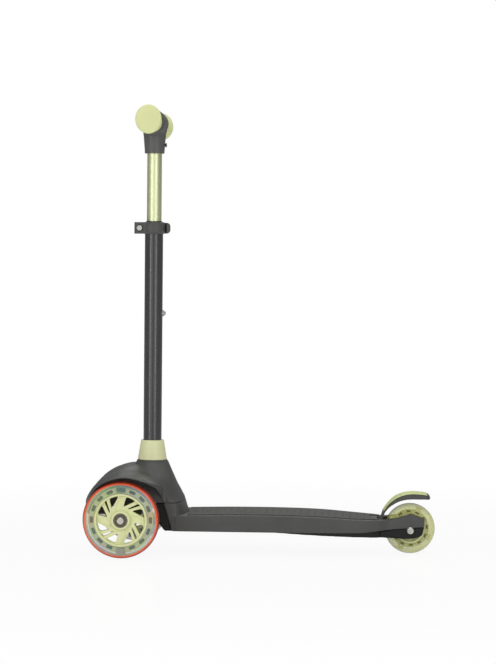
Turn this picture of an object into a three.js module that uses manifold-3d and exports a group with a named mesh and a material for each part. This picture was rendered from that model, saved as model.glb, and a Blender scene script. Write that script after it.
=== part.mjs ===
// A three-wheel kids' scooter that steers by leaning, in millimetres, +Z up.
// X runs from the nose to the rear wheel and Y to the rider's right.
// The origin lies on the ground, halfway along the scooter and midway between its sides.

import * as THREE from 'three';
import { mergeVertices } from 'three/addons/utils/BufferGeometryUtils.js';
import Module from 'manifold-3d';

const wasm = await Module();
wasm.setup();

// Clearances and cuts
const seatGap = 0.3; // between pieces that rest on or sit in each other
const runGap = 0.6; // between pieces that move past each other
const overrun = 12; // how far a cutting shape reaches past what it cuts

// Driving sizes of the whole scooter
const wheelbase = 453; // front axle to rear axle
const trackHalf = 106; // centre plane to the middle of a front tyre
const frontTyreRadius = 60;
const rearTyreRadius = 40;
const stemSetback = 39.6; // the upright tube stands this far behind the front axle
const gripCentreHeight = 682.6;
const handlebarHalf = 126.3; // centre plane to the end of a grip
const upperTubeShown = 109; // between the clamp and the handle's socket

// Front hood
const hoodRadius = 78; // side-on, the hood's spine is an arc of this radius
const hoodSetback = 14; // its centre lies behind the front axle
const hoodWall = 3.2;
const hoodCheekHalf = 85; // half the width of the hood between the wheels
const hoodHemRise = 6; // the lower edge lies this far above the front axle
const fenderHalf = 121; // centre plane to the outer edge of a fender
const fenderRadius = 70.6; // the fender's arc at its root, beside the spine
const fenderEdgeRadius = 66.9; // and at its outer edge
const fenderSetback = 6;
const fenderRise = 1.5;
const fenderRear = 76; // the fenders end this far behind the front axle
const wellRadius = 64.9; // the roof over a wheel
const rearGapRadius = 66.6; // the recess behind a wheel, about the front axle
const rearGapHalf = 57.5; // from here outwards
const rearGapFront = 30;
const seamHeight = 81.5; // the hood meets the deck's neck here
const hoodTopRise = 7; // the collar's seat lies this far above the spine's arc
const socketWall = 4.5; // round the upright tube, inside the hood
const beamSlotHalf = 20; // room for the steering beam in the hood's cheek
const beamSlotRise = 18;

// Deck
const deckHalf = 58.8;
const deckTop = 63; // the standing surface, without the mat
const deckBottom = 36.6;
const deckWall = 4.2;
const neckFront = 62.5; // the neck's front edge at the seam
const neckFoot = 76; // and where that edge meets the underside
const neckRear = 92.5; // the neck's rear face on the centre plane, at the seam
const neckHalf = 58;
const neckBulge = 6; // its rear face swells by this much towards the centre plane
const nosePlateFront = 50; // the chassis's front plate, at the seam
const matInset = 9;
const matSunk = 1;
const matProud = 1.3;
const matFront = 100;
const matRearSetback = 49; // the mat ends this far ahead of the rear axle
const armOuterHalf = 31; // the rear arms' outer faces
const wheelSlotHalf = 17.3; // and their inner faces
const armReach = 22.5; // behind the rear axle
const armFrontSetback = 1.2; // the arms rise above the deck from this far behind the brake's pivot
const axleBossRadius = 8; // on the arms' inner faces, round the rear axle
const armPeakRise = 25.3; // above the rear axle
const armTailRise = 5.4;
const chassisDrop = 13.9; // the chassis reaches this far below the rear axle
const chassisBreak = 230; // its underside slopes down from here to the rear
const ribCount = 4;
const ribThickness = 4;

// Chassis nose and steering
const tongueHalf = 15;
const tongueBottomRise = 21; // above the front axle
const tongueThickness = 15;
const tongueFront = -12; // from the front axle, rearwards
const shelfRear = 79; // the tongue's root ends here, behind the front axle
const crossPlateHalf = 38;
const crossPlateDepth = 20;
const crossPlateThickness = 6;
const kingpinLean = 40; // degrees that the kingpin leans forward from upright
const kingpinRadius = 5;
const kingpinHeadRadius = 8;
const kingpinHeadHeight = 5.7;
const kingpinBossRadius = 13;
const beamBossBottom = -12; // along the kingpin, from the front axle's line
const beamBossTop = 14.4;
const tongueBossHeight = 14;
const kingpinNutHeight = 6.4;
const beamHalfDepth = 10; // the steering beam's section
const beamHalfHeight = 9;
const beamEndGap = 0.5; // to the wheel's hub
const bushWall = 2.7;
const rubberRadius = 7;
const rubberOffset = 28;

// Wheels
const axleRadius = 3.7;
const boreRadius = 4; // bearings and the beam's ends
const bearingRadius = 11;
const bearingWidth = 7;
const boltHeadRadius = 5.8;
const boltHeadHeight = 4;
const axleThreadDepth = 20; // the bolt's length inside the beam
const rearBoltHeadRadius = 6;
const rearBoltHeadHeight = 5;
const rearBoltEnd = 6; // the bolt's far end reaches this far past the arm

// Upright tubes
const lowerTubeRadius = 14.5;
const lowerTubeWall = 1.5;
const upperTubeRadius = 11.7;
const upperTubeWall = 1.4;
const upperTubeFoot = 322; // height of its lower end
const slitWidth = 2.6;
const slitLength = 34;
const bushLength = 38;
const bushFlange = 1.5;
const collarHeight = 31.5;
const collarFootRadius = 23.3;
const collarTopRadius = 18.2;
const stemPlugLength = 26;
const stemBoltRadius = 3.9;
const stemBoltHeadRadius = 6.5;
const stemBoltHeadHeight = 5;

// Height catch
const catchDrop = 145.5; // from the top of the lower tube
const catchRadius = 3.2;
const catchProud = 5;
const catchRingRadius = 5.2;
const catchRingDepth = 2.2;
const stemDrop = 100; // travel of the handlebar down
const stemLift = 40; // and up, from where it stands

// Clamp at the top of the lower tube
const clampHeight = 19.3;
const clampWall = 4;
const earReach = 30.8; // the ears' front end, ahead of the stem's axis
const earHalf = 13.5; // half the width over both ears
const earGapHalf = 1.6;
const clampRodSetback = 22.2; // the rod's axis, ahead of the stem's axis
const clampRodRadius = 2.6;
const clampNutRadius = 4.6;
const clampNutHeight = 6;
const leverPinReach = 21.5; // the lever's pin, out from the centre plane
const leverPinRadius = 1.8;
const leverHeadRadius = 6.2;
const leverThickness = 5.2;
const leverHeight = 17.5;
const leverSweep = 104; // degrees that the lever wraps round the band
const leverBandGap = 2.4;
const leverSwing = 110; // degrees that the lever swings open

// Handlebar
const barrelRadius = 20;
const barrelHalf = 27;
const socketDrop = 48.6; // the socket's foot below the grips' centre
const socketFootRadius = 15.6;
const socketTopRadius = 19;
const barCoreRadius = 9.6;
const gripRadius = 15.4;
const gripInnerFlangeRadius = 15.8;
const gripEndRadius = 22.7;
const gripEndThickness = 7;
const gripTaper = 11.2; // the grip widens towards its end disc from here
const gripInnerThickness = 5;
const gripOvalShare = 0.9;
const handleScrewRise = 13.5; // above the socket's foot
const handleScrewRadius = 2.2;
const handleScrewHeadRadius = 3.6;
const handleScrewHeadHeight = 2.2;

// Brake over the rear wheel
const brakePivotSetback = 46; // the brake turns this far ahead of the rear axle
const brakePivotHeight = 50.5;
const brakePinRadius = 2.2;
const brakeKnuckleRadius = 4.4;
const brakeGap = 7.5; // from the tyre to the brake's underside
const brakeHalf = 20;
const brakeRootHalf = 15.5;
const brakeFlare = 19.2; // the brake reaches its full width this far behind its pivot
const brakeTipReach = 12; // its tip rounds off over this length behind the arms
const brakeRootDeep = 3.4; // thickness at the root
const brakeTipDeep = 9.6; // and over the axle
const coverThickness = 2.2;
const brakeSpringThickness = 0.8;
const brakeSpringHalf = 6;
const brakePinHalf = 25;

// Numbers of sides on round pieces
const tyreSides = 28;
const tubeSides = 24;
const hoodSides = 40;
const bearingSides = 16;
const smallSides = 12;
const hexSides = 6;

// Places worked out from the driving sizes
const noseReach = hoodRadius - hoodSetback;
const midLength = (wheelbase + rearTyreRadius - noseReach) / 2;
const tongueTop = frontTyreRadius + tongueBottomRise + tongueThickness;
const socketFootHeight = gripCentreHeight - socketDrop;
const clampTopHeight = socketFootHeight - upperTubeShown;
const clampFootHeight = clampTopHeight - clampHeight;
const catchHeight = clampTopHeight - catchDrop;
const lowerTubeInner = lowerTubeRadius - lowerTubeWall;
const upperTubeInner = upperTubeRadius - upperTubeWall;
const hoodTopHeight = frontTyreRadius + hoodRadius + hoodTopRise;
const collarFootHeight = hoodTopHeight + seatGap;
const collarTopHeight = hoodTopHeight + collarHeight;
const tongueBossBottom = beamBossTop + runGap;
const tongueBossTop = tongueBossBottom + tongueBossHeight;
const matRear = wheelbase - matRearSetback;
const brakePivotX = wheelbase - brakePivotSetback;
const brakeLeafFoot = brakePivotX - brakeKnuckleRadius - runGap - brakeSpringThickness;
const wheelSlotFront = brakeLeafFoot - seatGap; // the slot between the rear arms starts here
const armFront = brakePivotX + armFrontSetback;

const group = new THREE.Group();
group.name = 'scooter';
const frame = new THREE.Group(); // its origin is under the front axle, on the ground
frame.position.set(-midLength, 0, 0);
group.add(frame);

// Materials
function finish(color, roughness, metalness) {
  return new THREE.MeshStandardMaterial({ color, roughness, metalness });
}
const greyPlastic = finish(0x4e4e4d, 0.6, 0);
const blackPlastic = finish(0x191919, 0.65, 0);
const limePlastic = finish(0xd9de9c, 0.55, 0);
const limeRubber = finish(0xdae0a8, 0.75, 0);
const limeMetal = finish(0xc8cf86, 0.25, 1);
const darkTube = finish(0x434346, 0.4, 0.6);
const chrome = finish(0xc9c9c4, 0.15, 1);
const steel = finish(0x8f9092, 0.35, 1);
const clearTyre = finish(0xd6dca0, 0.3, 0);
const glowTyre = finish(0xe8a070, 0.3, 0);
const matRubber = finish(0x3c3c3a, 0.9, 0);
const darkRubber = finish(0x1d1d1d, 0.9, 0);
const copper = finish(0x9c7a4a, 0.4, 1);
const lightLens = finish(0xbfd6cc, 0.25, 0);

// Turns a closed three.js geometry into a solid that can be joined and cut.
function solidOf(geometry) {
  const plain = geometry.clone();
  plain.deleteAttribute('normal');
  plain.deleteAttribute('uv');
  const merged = mergeVertices(plain);
  const vertProperties = Float32Array.from(merged.attributes.position.array);
  const triVerts = Uint32Array.from(merged.index.array);
  return new wasm.Manifold(new wasm.Mesh({ numProp: 3, vertProperties, triVerts }));
}

// Turns a solid back into a geometry.
function geometryOf(solid) {
  const mesh = solid.getMesh();
  const geometry = new THREE.BufferGeometry();
  geometry.setAttribute('position', new THREE.BufferAttribute(Float32Array.from(mesh.vertProperties), 3));
  geometry.setIndex(new THREE.BufferAttribute(Uint32Array.from(mesh.triVerts), 1));
  geometry.computeVertexNormals();
  return geometry;
}

const join = (first, ...rest) => rest.reduce((whole, next) => whole.add(next), first);
const cut = (first, ...rest) => rest.reduce((whole, next) => whole.subtract(next), first);
const common = (first, ...rest) => rest.reduce((whole, next) => whole.intersect(next), first);
const radians = (degrees) => THREE.MathUtils.degToRad(degrees);

// A box between two corners.
function block([x0, y0, z0], [x1, y1, z1]) {
  const geometry = new THREE.BoxGeometry(x1 - x0, y1 - y0, z1 - z0);
  geometry.translate((x0 + x1) / 2, (y0 + y1) / 2, (z0 + z1) / 2);
  return solidOf(geometry);
}

// A rod along Y, with a flat side facing straight down.
function rodY(radius, y0, y1, sides, x = 0, z = 0) {
  const geometry = new THREE.CylinderGeometry(radius, radius, y1 - y0, sides, 1, false, Math.PI / sides);
  geometry.translate(x, (y0 + y1) / 2, z);
  return solidOf(geometry);
}

// A rod or cone along Z.
function rodZ(footRadius, topRadius, z0, z1, sides, x = 0, y = 0) {
  const turn = Math.PI / sides;
  const geometry = new THREE.CylinderGeometry(topRadius, footRadius, z1 - z0, sides, 1, false, turn);
  geometry.rotateX(Math.PI / 2);
  geometry.translate(x, y, (z0 + z1) / 2);
  return solidOf(geometry);
}

// A rod along X.
function rodX(radius, x0, x1, sides, y = 0, z = 0) {
  const geometry = new THREE.CylinderGeometry(radius, radius, x1 - x0, sides, 1, false, Math.PI / sides);
  geometry.rotateZ(Math.PI / 2);
  geometry.translate((x0 + x1) / 2, y, z);
  return solidOf(geometry);
}

// A closed profile of [radius, along] points turned about Y, wound so that its faces point out.
function turnedY(profile, sides) {
  const area = profile.reduce((sum, [r, along], i) => {
    const [nextR, nextAlong] = profile[(i + 1) % profile.length];
    return sum + r * nextAlong - nextR * along;
  }, 0);
  const ordered = area > 0 ? profile : [...profile].reverse();
  const points = [...ordered, ordered[0]].map(([r, along]) => new THREE.Vector2(r, along));
  const geometry = new THREE.LatheGeometry(points, sides, Math.PI / sides);
  return solidOf(geometry);
}

const shapeOf = (points) => new THREE.Shape(points.map(([a, b]) => new THREE.Vector2(a, b)));

// An outline of [x, z] points extruded along Y.
function wallY(points, y0, y1) {
  const geometry = new THREE.ExtrudeGeometry(shapeOf(points), { depth: y1 - y0, bevelEnabled: false });
  geometry.rotateX(Math.PI / 2);
  geometry.translate(0, y1, 0);
  return solidOf(geometry);
}

// An outline of [x, y] points extruded along Z.
function wallZ(points, z0, z1) {
  const geometry = new THREE.ExtrudeGeometry(shapeOf(points), { depth: z1 - z0, bevelEnabled: false });
  geometry.translate(0, 0, z0);
  return solidOf(geometry);
}

// Points from shares of a length and a height, measured from a corner.
function spread(shares, [a0, b0], [length, height]) {
  return shares.map(([a, b]) => [a0 + a * length, b0 + b * height]);
}

// The outline of one side, closed by its mirror image across the first axis.
function mirrored(points) {
  const other = points.filter(([, b]) => b !== 0).map(([a, b]) => [a, -b]);
  return [...points, ...other.reverse()];
}

// Makes a named mesh from a solid.
function piece(name, solid, material, parent) {
  const mesh = new THREE.Mesh(geometryOf(solid), material);
  mesh.name = name;
  parent.add(mesh);
  return mesh;
}

function groupAt(parent, x, y, z) {
  const made = new THREE.Group();
  made.position.set(x, y, z);
  parent.add(made);
  return made;
}

// Wheels: a hub with a slotted ring that the tyre is cast round, two bearings and light capsules.

const frontWheel = {
  tyreRadius: frontTyreRadius,
  halfWidth: 12,
  rimRadius: 41.5,
  rimWall: 4.5,
  rimHalf: 9.6,
  ringRadius: 51,
  ringHalf: 2.5,
  slotRadius: 46.3,
  slotLength: 10.4,
  slotDepth: 5.2,
  slotCount: 16,
  webHalf: 4.6,
  bossRadius: 14,
  bossHalf: 11,
  windows: true,
  lightRadius: 49.5,
  lightLength: 13.6,
  lightDepth: 11,
  lightHalf: 5,
  lightAngles: [90, 270],
};

const rearWheel = {
  tyreRadius: rearTyreRadius,
  halfWidth: 13.5,
  rimRadius: 23.5,
  rimWall: 3.5,
  rimHalf: 11,
  ringRadius: 30.6,
  ringHalf: 2.5,
  slotRadius: 27.2,
  slotLength: 6.6,
  slotDepth: 3.2,
  slotCount: 12,
  webHalf: 4.4,
  bossRadius: 14,
  bossHalf: 13,
  windows: false,
  lightRadius: 32.2,
  lightLength: 9,
  lightDepth: 7,
  lightHalf: 4.6,
  lightAngles: [64.5, 154.5, 244.5, 334.5],
};

// The tyre's section, from its seat on the rim out to the tread, as shares of its depth and half width.
const tyreSectionShares = [[0, 0.9], [0.24, 1], [0.66, 0.94], [0.9, 0.68], [1, 0.3]];

// One quarter of the hub's swirl: two three-cornered windows with a slot between them,
// as shares of the windows' outer radius and degrees from the quarter's first spoke.
const windowCornerShares = [
  [[0.65, 77.8], [0.98, 53.4], [0.98, 74.4]],
  [[0.6, 58], [0.62, 52.5], [1, 38], [1, 42.5]],
  [[0.66, 35.8], [1, 7.9], [1, 26.8]],
];

const polar = (radius, degrees) => [radius * Math.cos(radians(degrees)), radius * Math.sin(radians(degrees))];

// A box set square on a radius of the wheel, at an angle from the rear, upwards.
function radialBox(radius, length, depth, half, degrees) {
  const geometry = new THREE.BoxGeometry(depth, 2 * half, length);
  geometry.translate(radius, 0, 0);
  geometry.rotateY(-radians(degrees));
  return solidOf(geometry);
}

// Round pieces of a wheel keep their flats, not their corners, at the radius given.
const overFlats = (radius) => radius / Math.cos(Math.PI / tyreSides);

function hubSolid(wheel) {
  const rimInner = wheel.rimRadius - wheel.rimWall;
  const seatHalf = wheel.bossHalf - bearingWidth;
  const rim = turnedY(
    [
      [overFlats(wheel.rimRadius), -wheel.rimHalf],
      [overFlats(wheel.rimRadius), wheel.rimHalf],
      [overFlats(rimInner), wheel.rimHalf],
      [overFlats(rimInner), -wheel.rimHalf],
    ],
    tyreSides,
  );
  const web = rodY(overFlats(wheel.rimRadius - wheel.rimWall / 2), -wheel.webHalf, wheel.webHalf, tyreSides);
  const ring = rodY(overFlats(wheel.ringRadius), -wheel.ringHalf, wheel.ringHalf, tyreSides);
  const boss = rodY(wheel.bossRadius, -wheel.bossHalf, wheel.bossHalf, tubeSides);
  const bore = rodY(bearingRadius - 2 * axleRadius / 3, -overrun, overrun, bearingSides);
  const seats = [-1, 1].map((side) => {
    const inner = side * seatHalf;
    const outer = side * (wheel.bossHalf + overrun);
    return rodY(bearingRadius + seatGap, Math.min(inner, outer), Math.max(inner, outer), bearingSides);
  });
  const slots = Array.from({ length: wheel.slotCount }, (_, i) => {
    const degrees = wheel.lightAngles[0] + (i * 360) / wheel.slotCount;
    return radialBox(wheel.slotRadius, wheel.slotLength, wheel.slotDepth, overrun, degrees);
  });
  const pockets = wheel.lightAngles.map((degrees) => lightBox(wheel, degrees, seatGap));
  const windows = wheel.windows ? swirlWindows(rimInner - seatGap) : [];
  return cut(join(ring, web, rim, boss), bore, ...seats, ...slots, ...pockets, ...windows);
}

function swirlWindows(radius) {
  const quarters = [0, 90, 180, 270];
  return quarters.flatMap((turn) => windowCornerShares.map((corners) => {
    const points = corners.map(([share, degrees]) => polar(share * radius, degrees + turn));
    return wallY(points, -overrun, overrun);
  }));
}

function lightBox(wheel, degrees, gap) {
  const length = wheel.lightLength + 2 * gap;
  const depth = wheel.lightDepth + 2 * gap;
  return radialBox(wheel.lightRadius, length, depth, wheel.lightHalf + gap, degrees);
}

function tyreSolid(wheel) {
  const seat = wheel.rimRadius + seatGap;
  const depth = wheel.tyreRadius - seat;
  const groove = wheel.ringHalf + seatGap;
  const section = tyreSectionShares.map(([out, across]) => [
    overFlats(seat + out * depth),
    across * wheel.halfWidth,
  ]);
  const profile = [
    ...section,
    ...section.map(([r, y]) => [r, -y]).reverse(),
    [overFlats(seat), -groove],
    [overFlats(wheel.ringRadius + seatGap), -groove],
    [overFlats(wheel.ringRadius + seatGap), groove],
    [overFlats(seat), groove],
  ];
  const pockets = wheel.lightAngles.map((degrees) => lightBox(wheel, degrees, seatGap));
  return cut(turnedY(profile, tyreSides), ...pockets);
}

function bearingSolid() {
  const shield = bearingWidth / 2 - seatGap;
  const lip = (bearingRadius - boreRadius) / 5;
  return turnedY(
    [
      [boreRadius, -bearingWidth / 2],
      [boreRadius + lip, -bearingWidth / 2],
      [boreRadius + lip, -shield],
      [bearingRadius - lip, -shield],
      [bearingRadius - lip, -bearingWidth / 2],
      [bearingRadius, -bearingWidth / 2],
      [bearingRadius, bearingWidth / 2],
      [boreRadius, bearingWidth / 2],
    ],
    bearingSides,
  );
}

// Builds one wheel round the middle of its tyre; outward is +1 or -1 along Y.
function buildWheel(prefix, wheel, tyreMaterial, parent, outward) {
  piece(`${prefix}_tyre`, tyreSolid(wheel), tyreMaterial, parent);
  piece(`${prefix}_hub`, hubSolid(wheel), limePlastic, parent);
  const bearingPlace = wheel.bossHalf - bearingWidth / 2;
  const outer = piece(`${prefix}_bearing_outer`, bearingSolid(), steel, parent);
  outer.position.y = outward * bearingPlace;
  const inner = piece(`${prefix}_bearing_inner`, bearingSolid(), steel, parent);
  inner.position.y = -outward * bearingPlace;
  wheel.lightAngles.forEach((degrees, i) => {
    piece(`${prefix}_light_${i + 1}`, lightBox(wheel, degrees, 0), lightLens, parent);
  });
}

// A sleeve round the axle between a wheel's two bearings.
function axleSleeve(wheel) {
  const half = wheel.bossHalf - bearingWidth - seatGap;
  const outer = boreRadius + (bearingRadius - boreRadius) / 3;
  return cut(
    rodY(outer, -half, half, bearingSides),
    rodY(boreRadius, -overrun, overrun, bearingSides),
  );
}

function buildFrontWheels() {
  for (const [side, word] of [[-1, 'left'], [1, 'right']]) {
    const hub = groupAt(frame, 0, side * trackHalf, frontTyreRadius);
    buildWheel(`front_${word}`, frontWheel, glowTyre, hub, side);
    piece(`front_${word}_magnet_sleeve`, axleSleeve(frontWheel), copper, hub);
    const headFoot = frontWheel.bossHalf + seatGap;
    const threadEnd = frontWheel.bossHalf + beamEndGap + axleThreadDepth;
    const shank = side > 0
      ? rodY(axleRadius, -threadEnd, headFoot + boltHeadHeight / 2, bearingSides)
      : rodY(axleRadius, -headFoot - boltHeadHeight / 2, threadEnd, bearingSides);
    const head = side > 0
      ? rodY(boltHeadRadius, headFoot, headFoot + boltHeadHeight, smallSides)
      : rodY(boltHeadRadius, -headFoot - boltHeadHeight, -headFoot, smallSides);
    piece(`front_${word}_axle_bolt`, join(shank, head), chrome, hub);
  }
}

// Front hood: the nose between the wheels, a fender over each, and the neck that rises to the tube.

// Half the hood seen from above, as shares of its length to the fenders' rear and its half width.
const hoodPlanShares = [
  [0, 0], [0.008, 0.3], [0.022, 0.48], [0.06, 0.64], [0.115, 0.755], [0.175, 0.86], [0.26, 0.95], [0.36, 1],
  [0.66, 1], [0.715, 0.97], [0.765, 0.88], [0.81, 0.75], [0.85, 0.6], [0.885, 0.51],
  [0.91, 0.479], [1, 0.479], [1, 0],
];
// Across the hood: shares of its half width, of the way from the spine's arc to the fender's,
// and of the way from there to the fender's edge.
const hoodSectionShares = [
  [0, 0, 0], [0.17, 0.12, 0], [0.28, 0.42, 0], [0.325, 0.75, 0], [0.355, 1, 0], [0.5, 1, 0.08],
  [0.62, 1, 0.2], [0.7, 1, 0.42], [0.77, 1, 0.76], [0.9, 1, 0.86], [1, 1, 1],
];
// The neck from its seam up: shares of its height, of the way from the collar's seat out to the seam's rear,
// and of the way out to the seam's side, with the squareness of its outline there.
const neckSectionShares = [
  [-0.1, 1, 1, 9], [0, 1, 1, 9], [0.11, 0.89, 1, 5.5], [0.26, 0.725, 0.99, 3.7], [0.41, 0.55, 0.93, 3.3],
  [0.565, 0.41, 0.8, 2.9], [0.715, 0.28, 0.55, 2.4], [0.87, 0.15, 0.2, 2.1],
  [0.945, 0.08, 0.06, 2], [1, 0, 0, 2],
];
// The same from the ground up to the seam.
const neckFootShares = [[0, 1.2, 1, 7], [0.775, 1.2, 1, 7], [1, 1, 1, 9]];

function hoodPlan(inset) {
  const length = noseReach + fenderRear - 2 * inset;
  return mirrored(spread(hoodPlanShares, [inset - noseReach, 0], [length, fenderHalf - inset]));
}

// Rings that hold the same number of points, skinned into one closed body.
function skinned(rings) {
  const sides = rings[0].length;
  const triangles = [];
  for (let k = 0; k + 1 < rings.length; k += 1) {
    for (let i = 0; i < sides; i += 1) {
      const next = (i + 1) % sides;
      const [a, b] = [k * sides + i, k * sides + next];
      triangles.push([a, a + sides, b], [b, a + sides, b + sides]);
    }
  }
  const last = (rings.length - 1) * sides;
  for (let i = 1; i + 1 < sides; i += 1) triangles.push([0, i, i + 1], [last, last + i + 1, last + i]);
  const vertProperties = Float32Array.from(rings.flat(2));
  const triVerts = Uint32Array.from(triangles.flat());
  return new wasm.Manifold(new wasm.Mesh({ numProp: 3, vertProperties, triVerts }));
}

// The hood's rounded body: round sections across the scooter, inside the hood's plan.
function hoodBody(inset) {
  const { lerp } = THREE.MathUtils;
  const ring = (side, [across, shift, edge]) => {
    const radius = lerp(lerp(hoodRadius, fenderRadius, shift), fenderEdgeRadius, edge) - inset;
    return Array.from({ length: hoodSides }, (_, i) => {
      const [along, up] = polar(radius, (i * 360) / hoodSides);
      return [
        lerp(hoodSetback, fenderSetback, shift) + along,
        side * across * fenderHalf,
        frontTyreRadius + shift * fenderRise + up,
      ];
    });
  };
  const half = hoodSectionShares.map((shares) => ring(1, shares));
  const other = hoodSectionShares.slice(1).map((shares) => ring(-1, shares)).reverse();
  return common(skinned([...other, ...half]), wallZ(hoodPlan(inset), 0, 2 * hoodTopHeight));
}

// The neck's level outline: round behind the tube at its top, a rounded box at the seam.
function neckOutline([rear, side, square], inset) {
  const { lerp } = THREE.MathUtils;
  const seat = collarFootRadius + seatGap;
  const reach = lerp(seat, neckRear - neckBulge - stemSetback, rear) - inset;
  const half = lerp(seat, neckHalf, side) - inset;
  return Array.from({ length: hoodSides }, (_, i) => {
    const [along, across] = polar(1, (-i * 360) / hoodSides);
    const out = (Math.abs(along) ** square + Math.abs(across) ** square) ** (-1 / square);
    const bulge = along > 0 ? rear * neckBulge * (1 - (across * out) ** 2) : 0;
    return [stemSetback + along * out * reach + bulge, across * out * half];
  });
}

function neckLoft(table, foot, top, inset) {
  return skinned(table.map(([rise, ...shape]) => (
    neckOutline(shape, inset).map(([x, y]) => [x, y, foot + rise * (top - foot)])
  )));
}

const neckBody = (inset) => neckLoft(neckSectionShares, seamHeight, hoodTopHeight - inset, inset);
const neckPlan = (inset) => neckOutline(neckSectionShares[0].slice(1), inset);

// A round body across one side of the scooter, from rings given as half width, radius, setback and height.
function sideLoft(side, ends) {
  const rings = ends.map(([half, radius, setback, height]) => (
    Array.from({ length: hoodSides }, (_, i) => {
      const [along, up] = polar(radius, (i * 360) / hoodSides);
      return [setback + along, side * half, height + up];
    })
  ));
  return skinned(side > 0 ? rings : rings.reverse());
}

// The room under the hood, round the tube's socket.
function hoodHollow() {
  const [frontHalf, rearHalf] = [hoodCheekHalf - hoodWall, rearGapHalf - hoodWall];
  const [front, middle] = [-noseReach - overrun, rearGapFront - hoodWall];
  const between = join(
    block([front, -frontHalf, -overrun], [middle, frontHalf, 2 * hoodTopHeight]),
    block([middle - overrun, -rearHalf, -overrun], [neckRear + overrun, rearHalf, 2 * hoodTopHeight]),
  );
  const room = join(common(hoodBody(hoodWall), between), neckBody(hoodWall));
  const socket = rodZ(
    lowerTubeRadius + socketWall, lowerTubeRadius + socketWall,
    tongueTop + seatGap, hoodTopHeight, tubeSides, stemSetback,
  );
  return cut(room, socket);
}

function buildHood() {
  const axle = frontTyreRadius;
  const halves = [-1, 1];
  const past = fenderHalf + overrun;
  const rearEnd = neckRear + overrun;
  const outside = join(hoodBody(0), neckBody(0));
  const hem = block([-noseReach - overrun, -past, -overrun], [rearEnd, past, axle + hoodHemRise]);
  const seam = block([stemSetback, -past, -overrun], [rearEnd, past, seamHeight + seatGap / 2]);
  const well = [wellRadius, fenderSetback, axle + fenderRise];
  const wells = halves.map((side) => sideLoft(side, [[hoodCheekHalf, ...well], [past, ...well]]));
  const rearGaps = halves.map((side) => common(
    sideLoft(side, [[rearGapHalf, rearGapRadius, 0, axle], [hoodCheekHalf + seatGap, ...well]]),
    block([rearGapFront, -past, 0], [rearEnd, past, 2 * hoodTopHeight]),
  ));
  const boreRadiusHere = lowerTubeRadius + seatGap;
  const bore = rodZ(boreRadiusHere, boreRadiusHere, axle, 2 * hoodTopHeight, tubeSides, stemSetback);
  const beamSlot = block([-beamSlotHalf, -past, axle - overrun], [beamSlotHalf, past, axle + beamSlotRise]);
  const shell = cut(outside, hem, seam, ...wells, ...rearGaps, hoodHollow(), bore, beamSlot);
  piece('front_hood', shell, greyPlastic, frame);
}

// Deck: a grey shell with two rear arms, on a dark chassis that carries both axles.

// Half the deck seen from above, as shares of its length from the neck to the arms' tails.
const deckPlanShares = [
  [0, 0], [0, 0.986], [0.045, 0.986], [0.06, 1], [0.62, 1], [0.73, 0.9],
  [0.81, 0.73], [0.86, 0.56], [0.885, 0.527], [1, 0.527], [1, 0],
];
// The standing surface from the side, as shares of the deck's length and height.
const deckTopShares = [
  [0.055, 0.93], [0.16, 0.97], [0.27, 1], [0.45, 1], [0.6, 0.94], [0.72, 0.82], [0.836, 0.73],
];
// An arm's upper edge from the side, as shares of its length and the peak's rise above the axle.
const armTopShares = [[0, 0.62], [0.31, 0.72], [0.68, 1], [0.97, 0.74], [1, 0.7]];
// The chassis's underside from its break to its tail, as shares of its length and drop.
const chassisFootShares = [[0, 0], [0.2, 0.28], [0.88, 1], [0.93, 0.93], [0.96, 0.76], [0.985, 0.45]];

const deckRear = wheelbase + armReach;
const deckPlan = (inset) => mirrored(spread(
  deckPlanShares, [neckFront, 0], [deckRear - neckFront - inset, deckHalf - inset],
));
const armTop = () => spread(armTopShares, [armFront, rearTyreRadius], [deckRear - armFront, armPeakRise]);
const deckTopLine = (drop) => spread(
  deckTopShares, [neckFront, deckBottom - drop], [deckRear - neckFront, deckTop - deckBottom],
);
const armTail = [deckRear, rearTyreRadius + armTailRise];

function axleHole() {
  return rodY(axleRadius + seatGap, -deckHalf, deckHalf, bearingSides, wheelbase, rearTyreRadius);
}

function wheelSlot() {
  return block([wheelSlotFront, -wheelSlotHalf, -overrun], [deckRear + overrun, wheelSlotHalf, 2 * deckTop]);
}

function matOutline(inset) {
  const plan = wallZ(deckPlan(matInset + inset), -overrun, 2 * deckTop);
  const half = deckHalf + overrun;
  const length = block([matFront + inset, -half, 0], [matRear - inset, half, 2 * deckTop]);
  const brakeRoom = brakePivotX - 2 * brakeKnuckleRadius - inset - matInset;
  const behindBrake = block([brakeRoom, -brakeHalf, 0], [deckRear, brakeHalf, 2 * deckTop]);
  return cut(common(plan, length), behindBrake);
}

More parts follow.
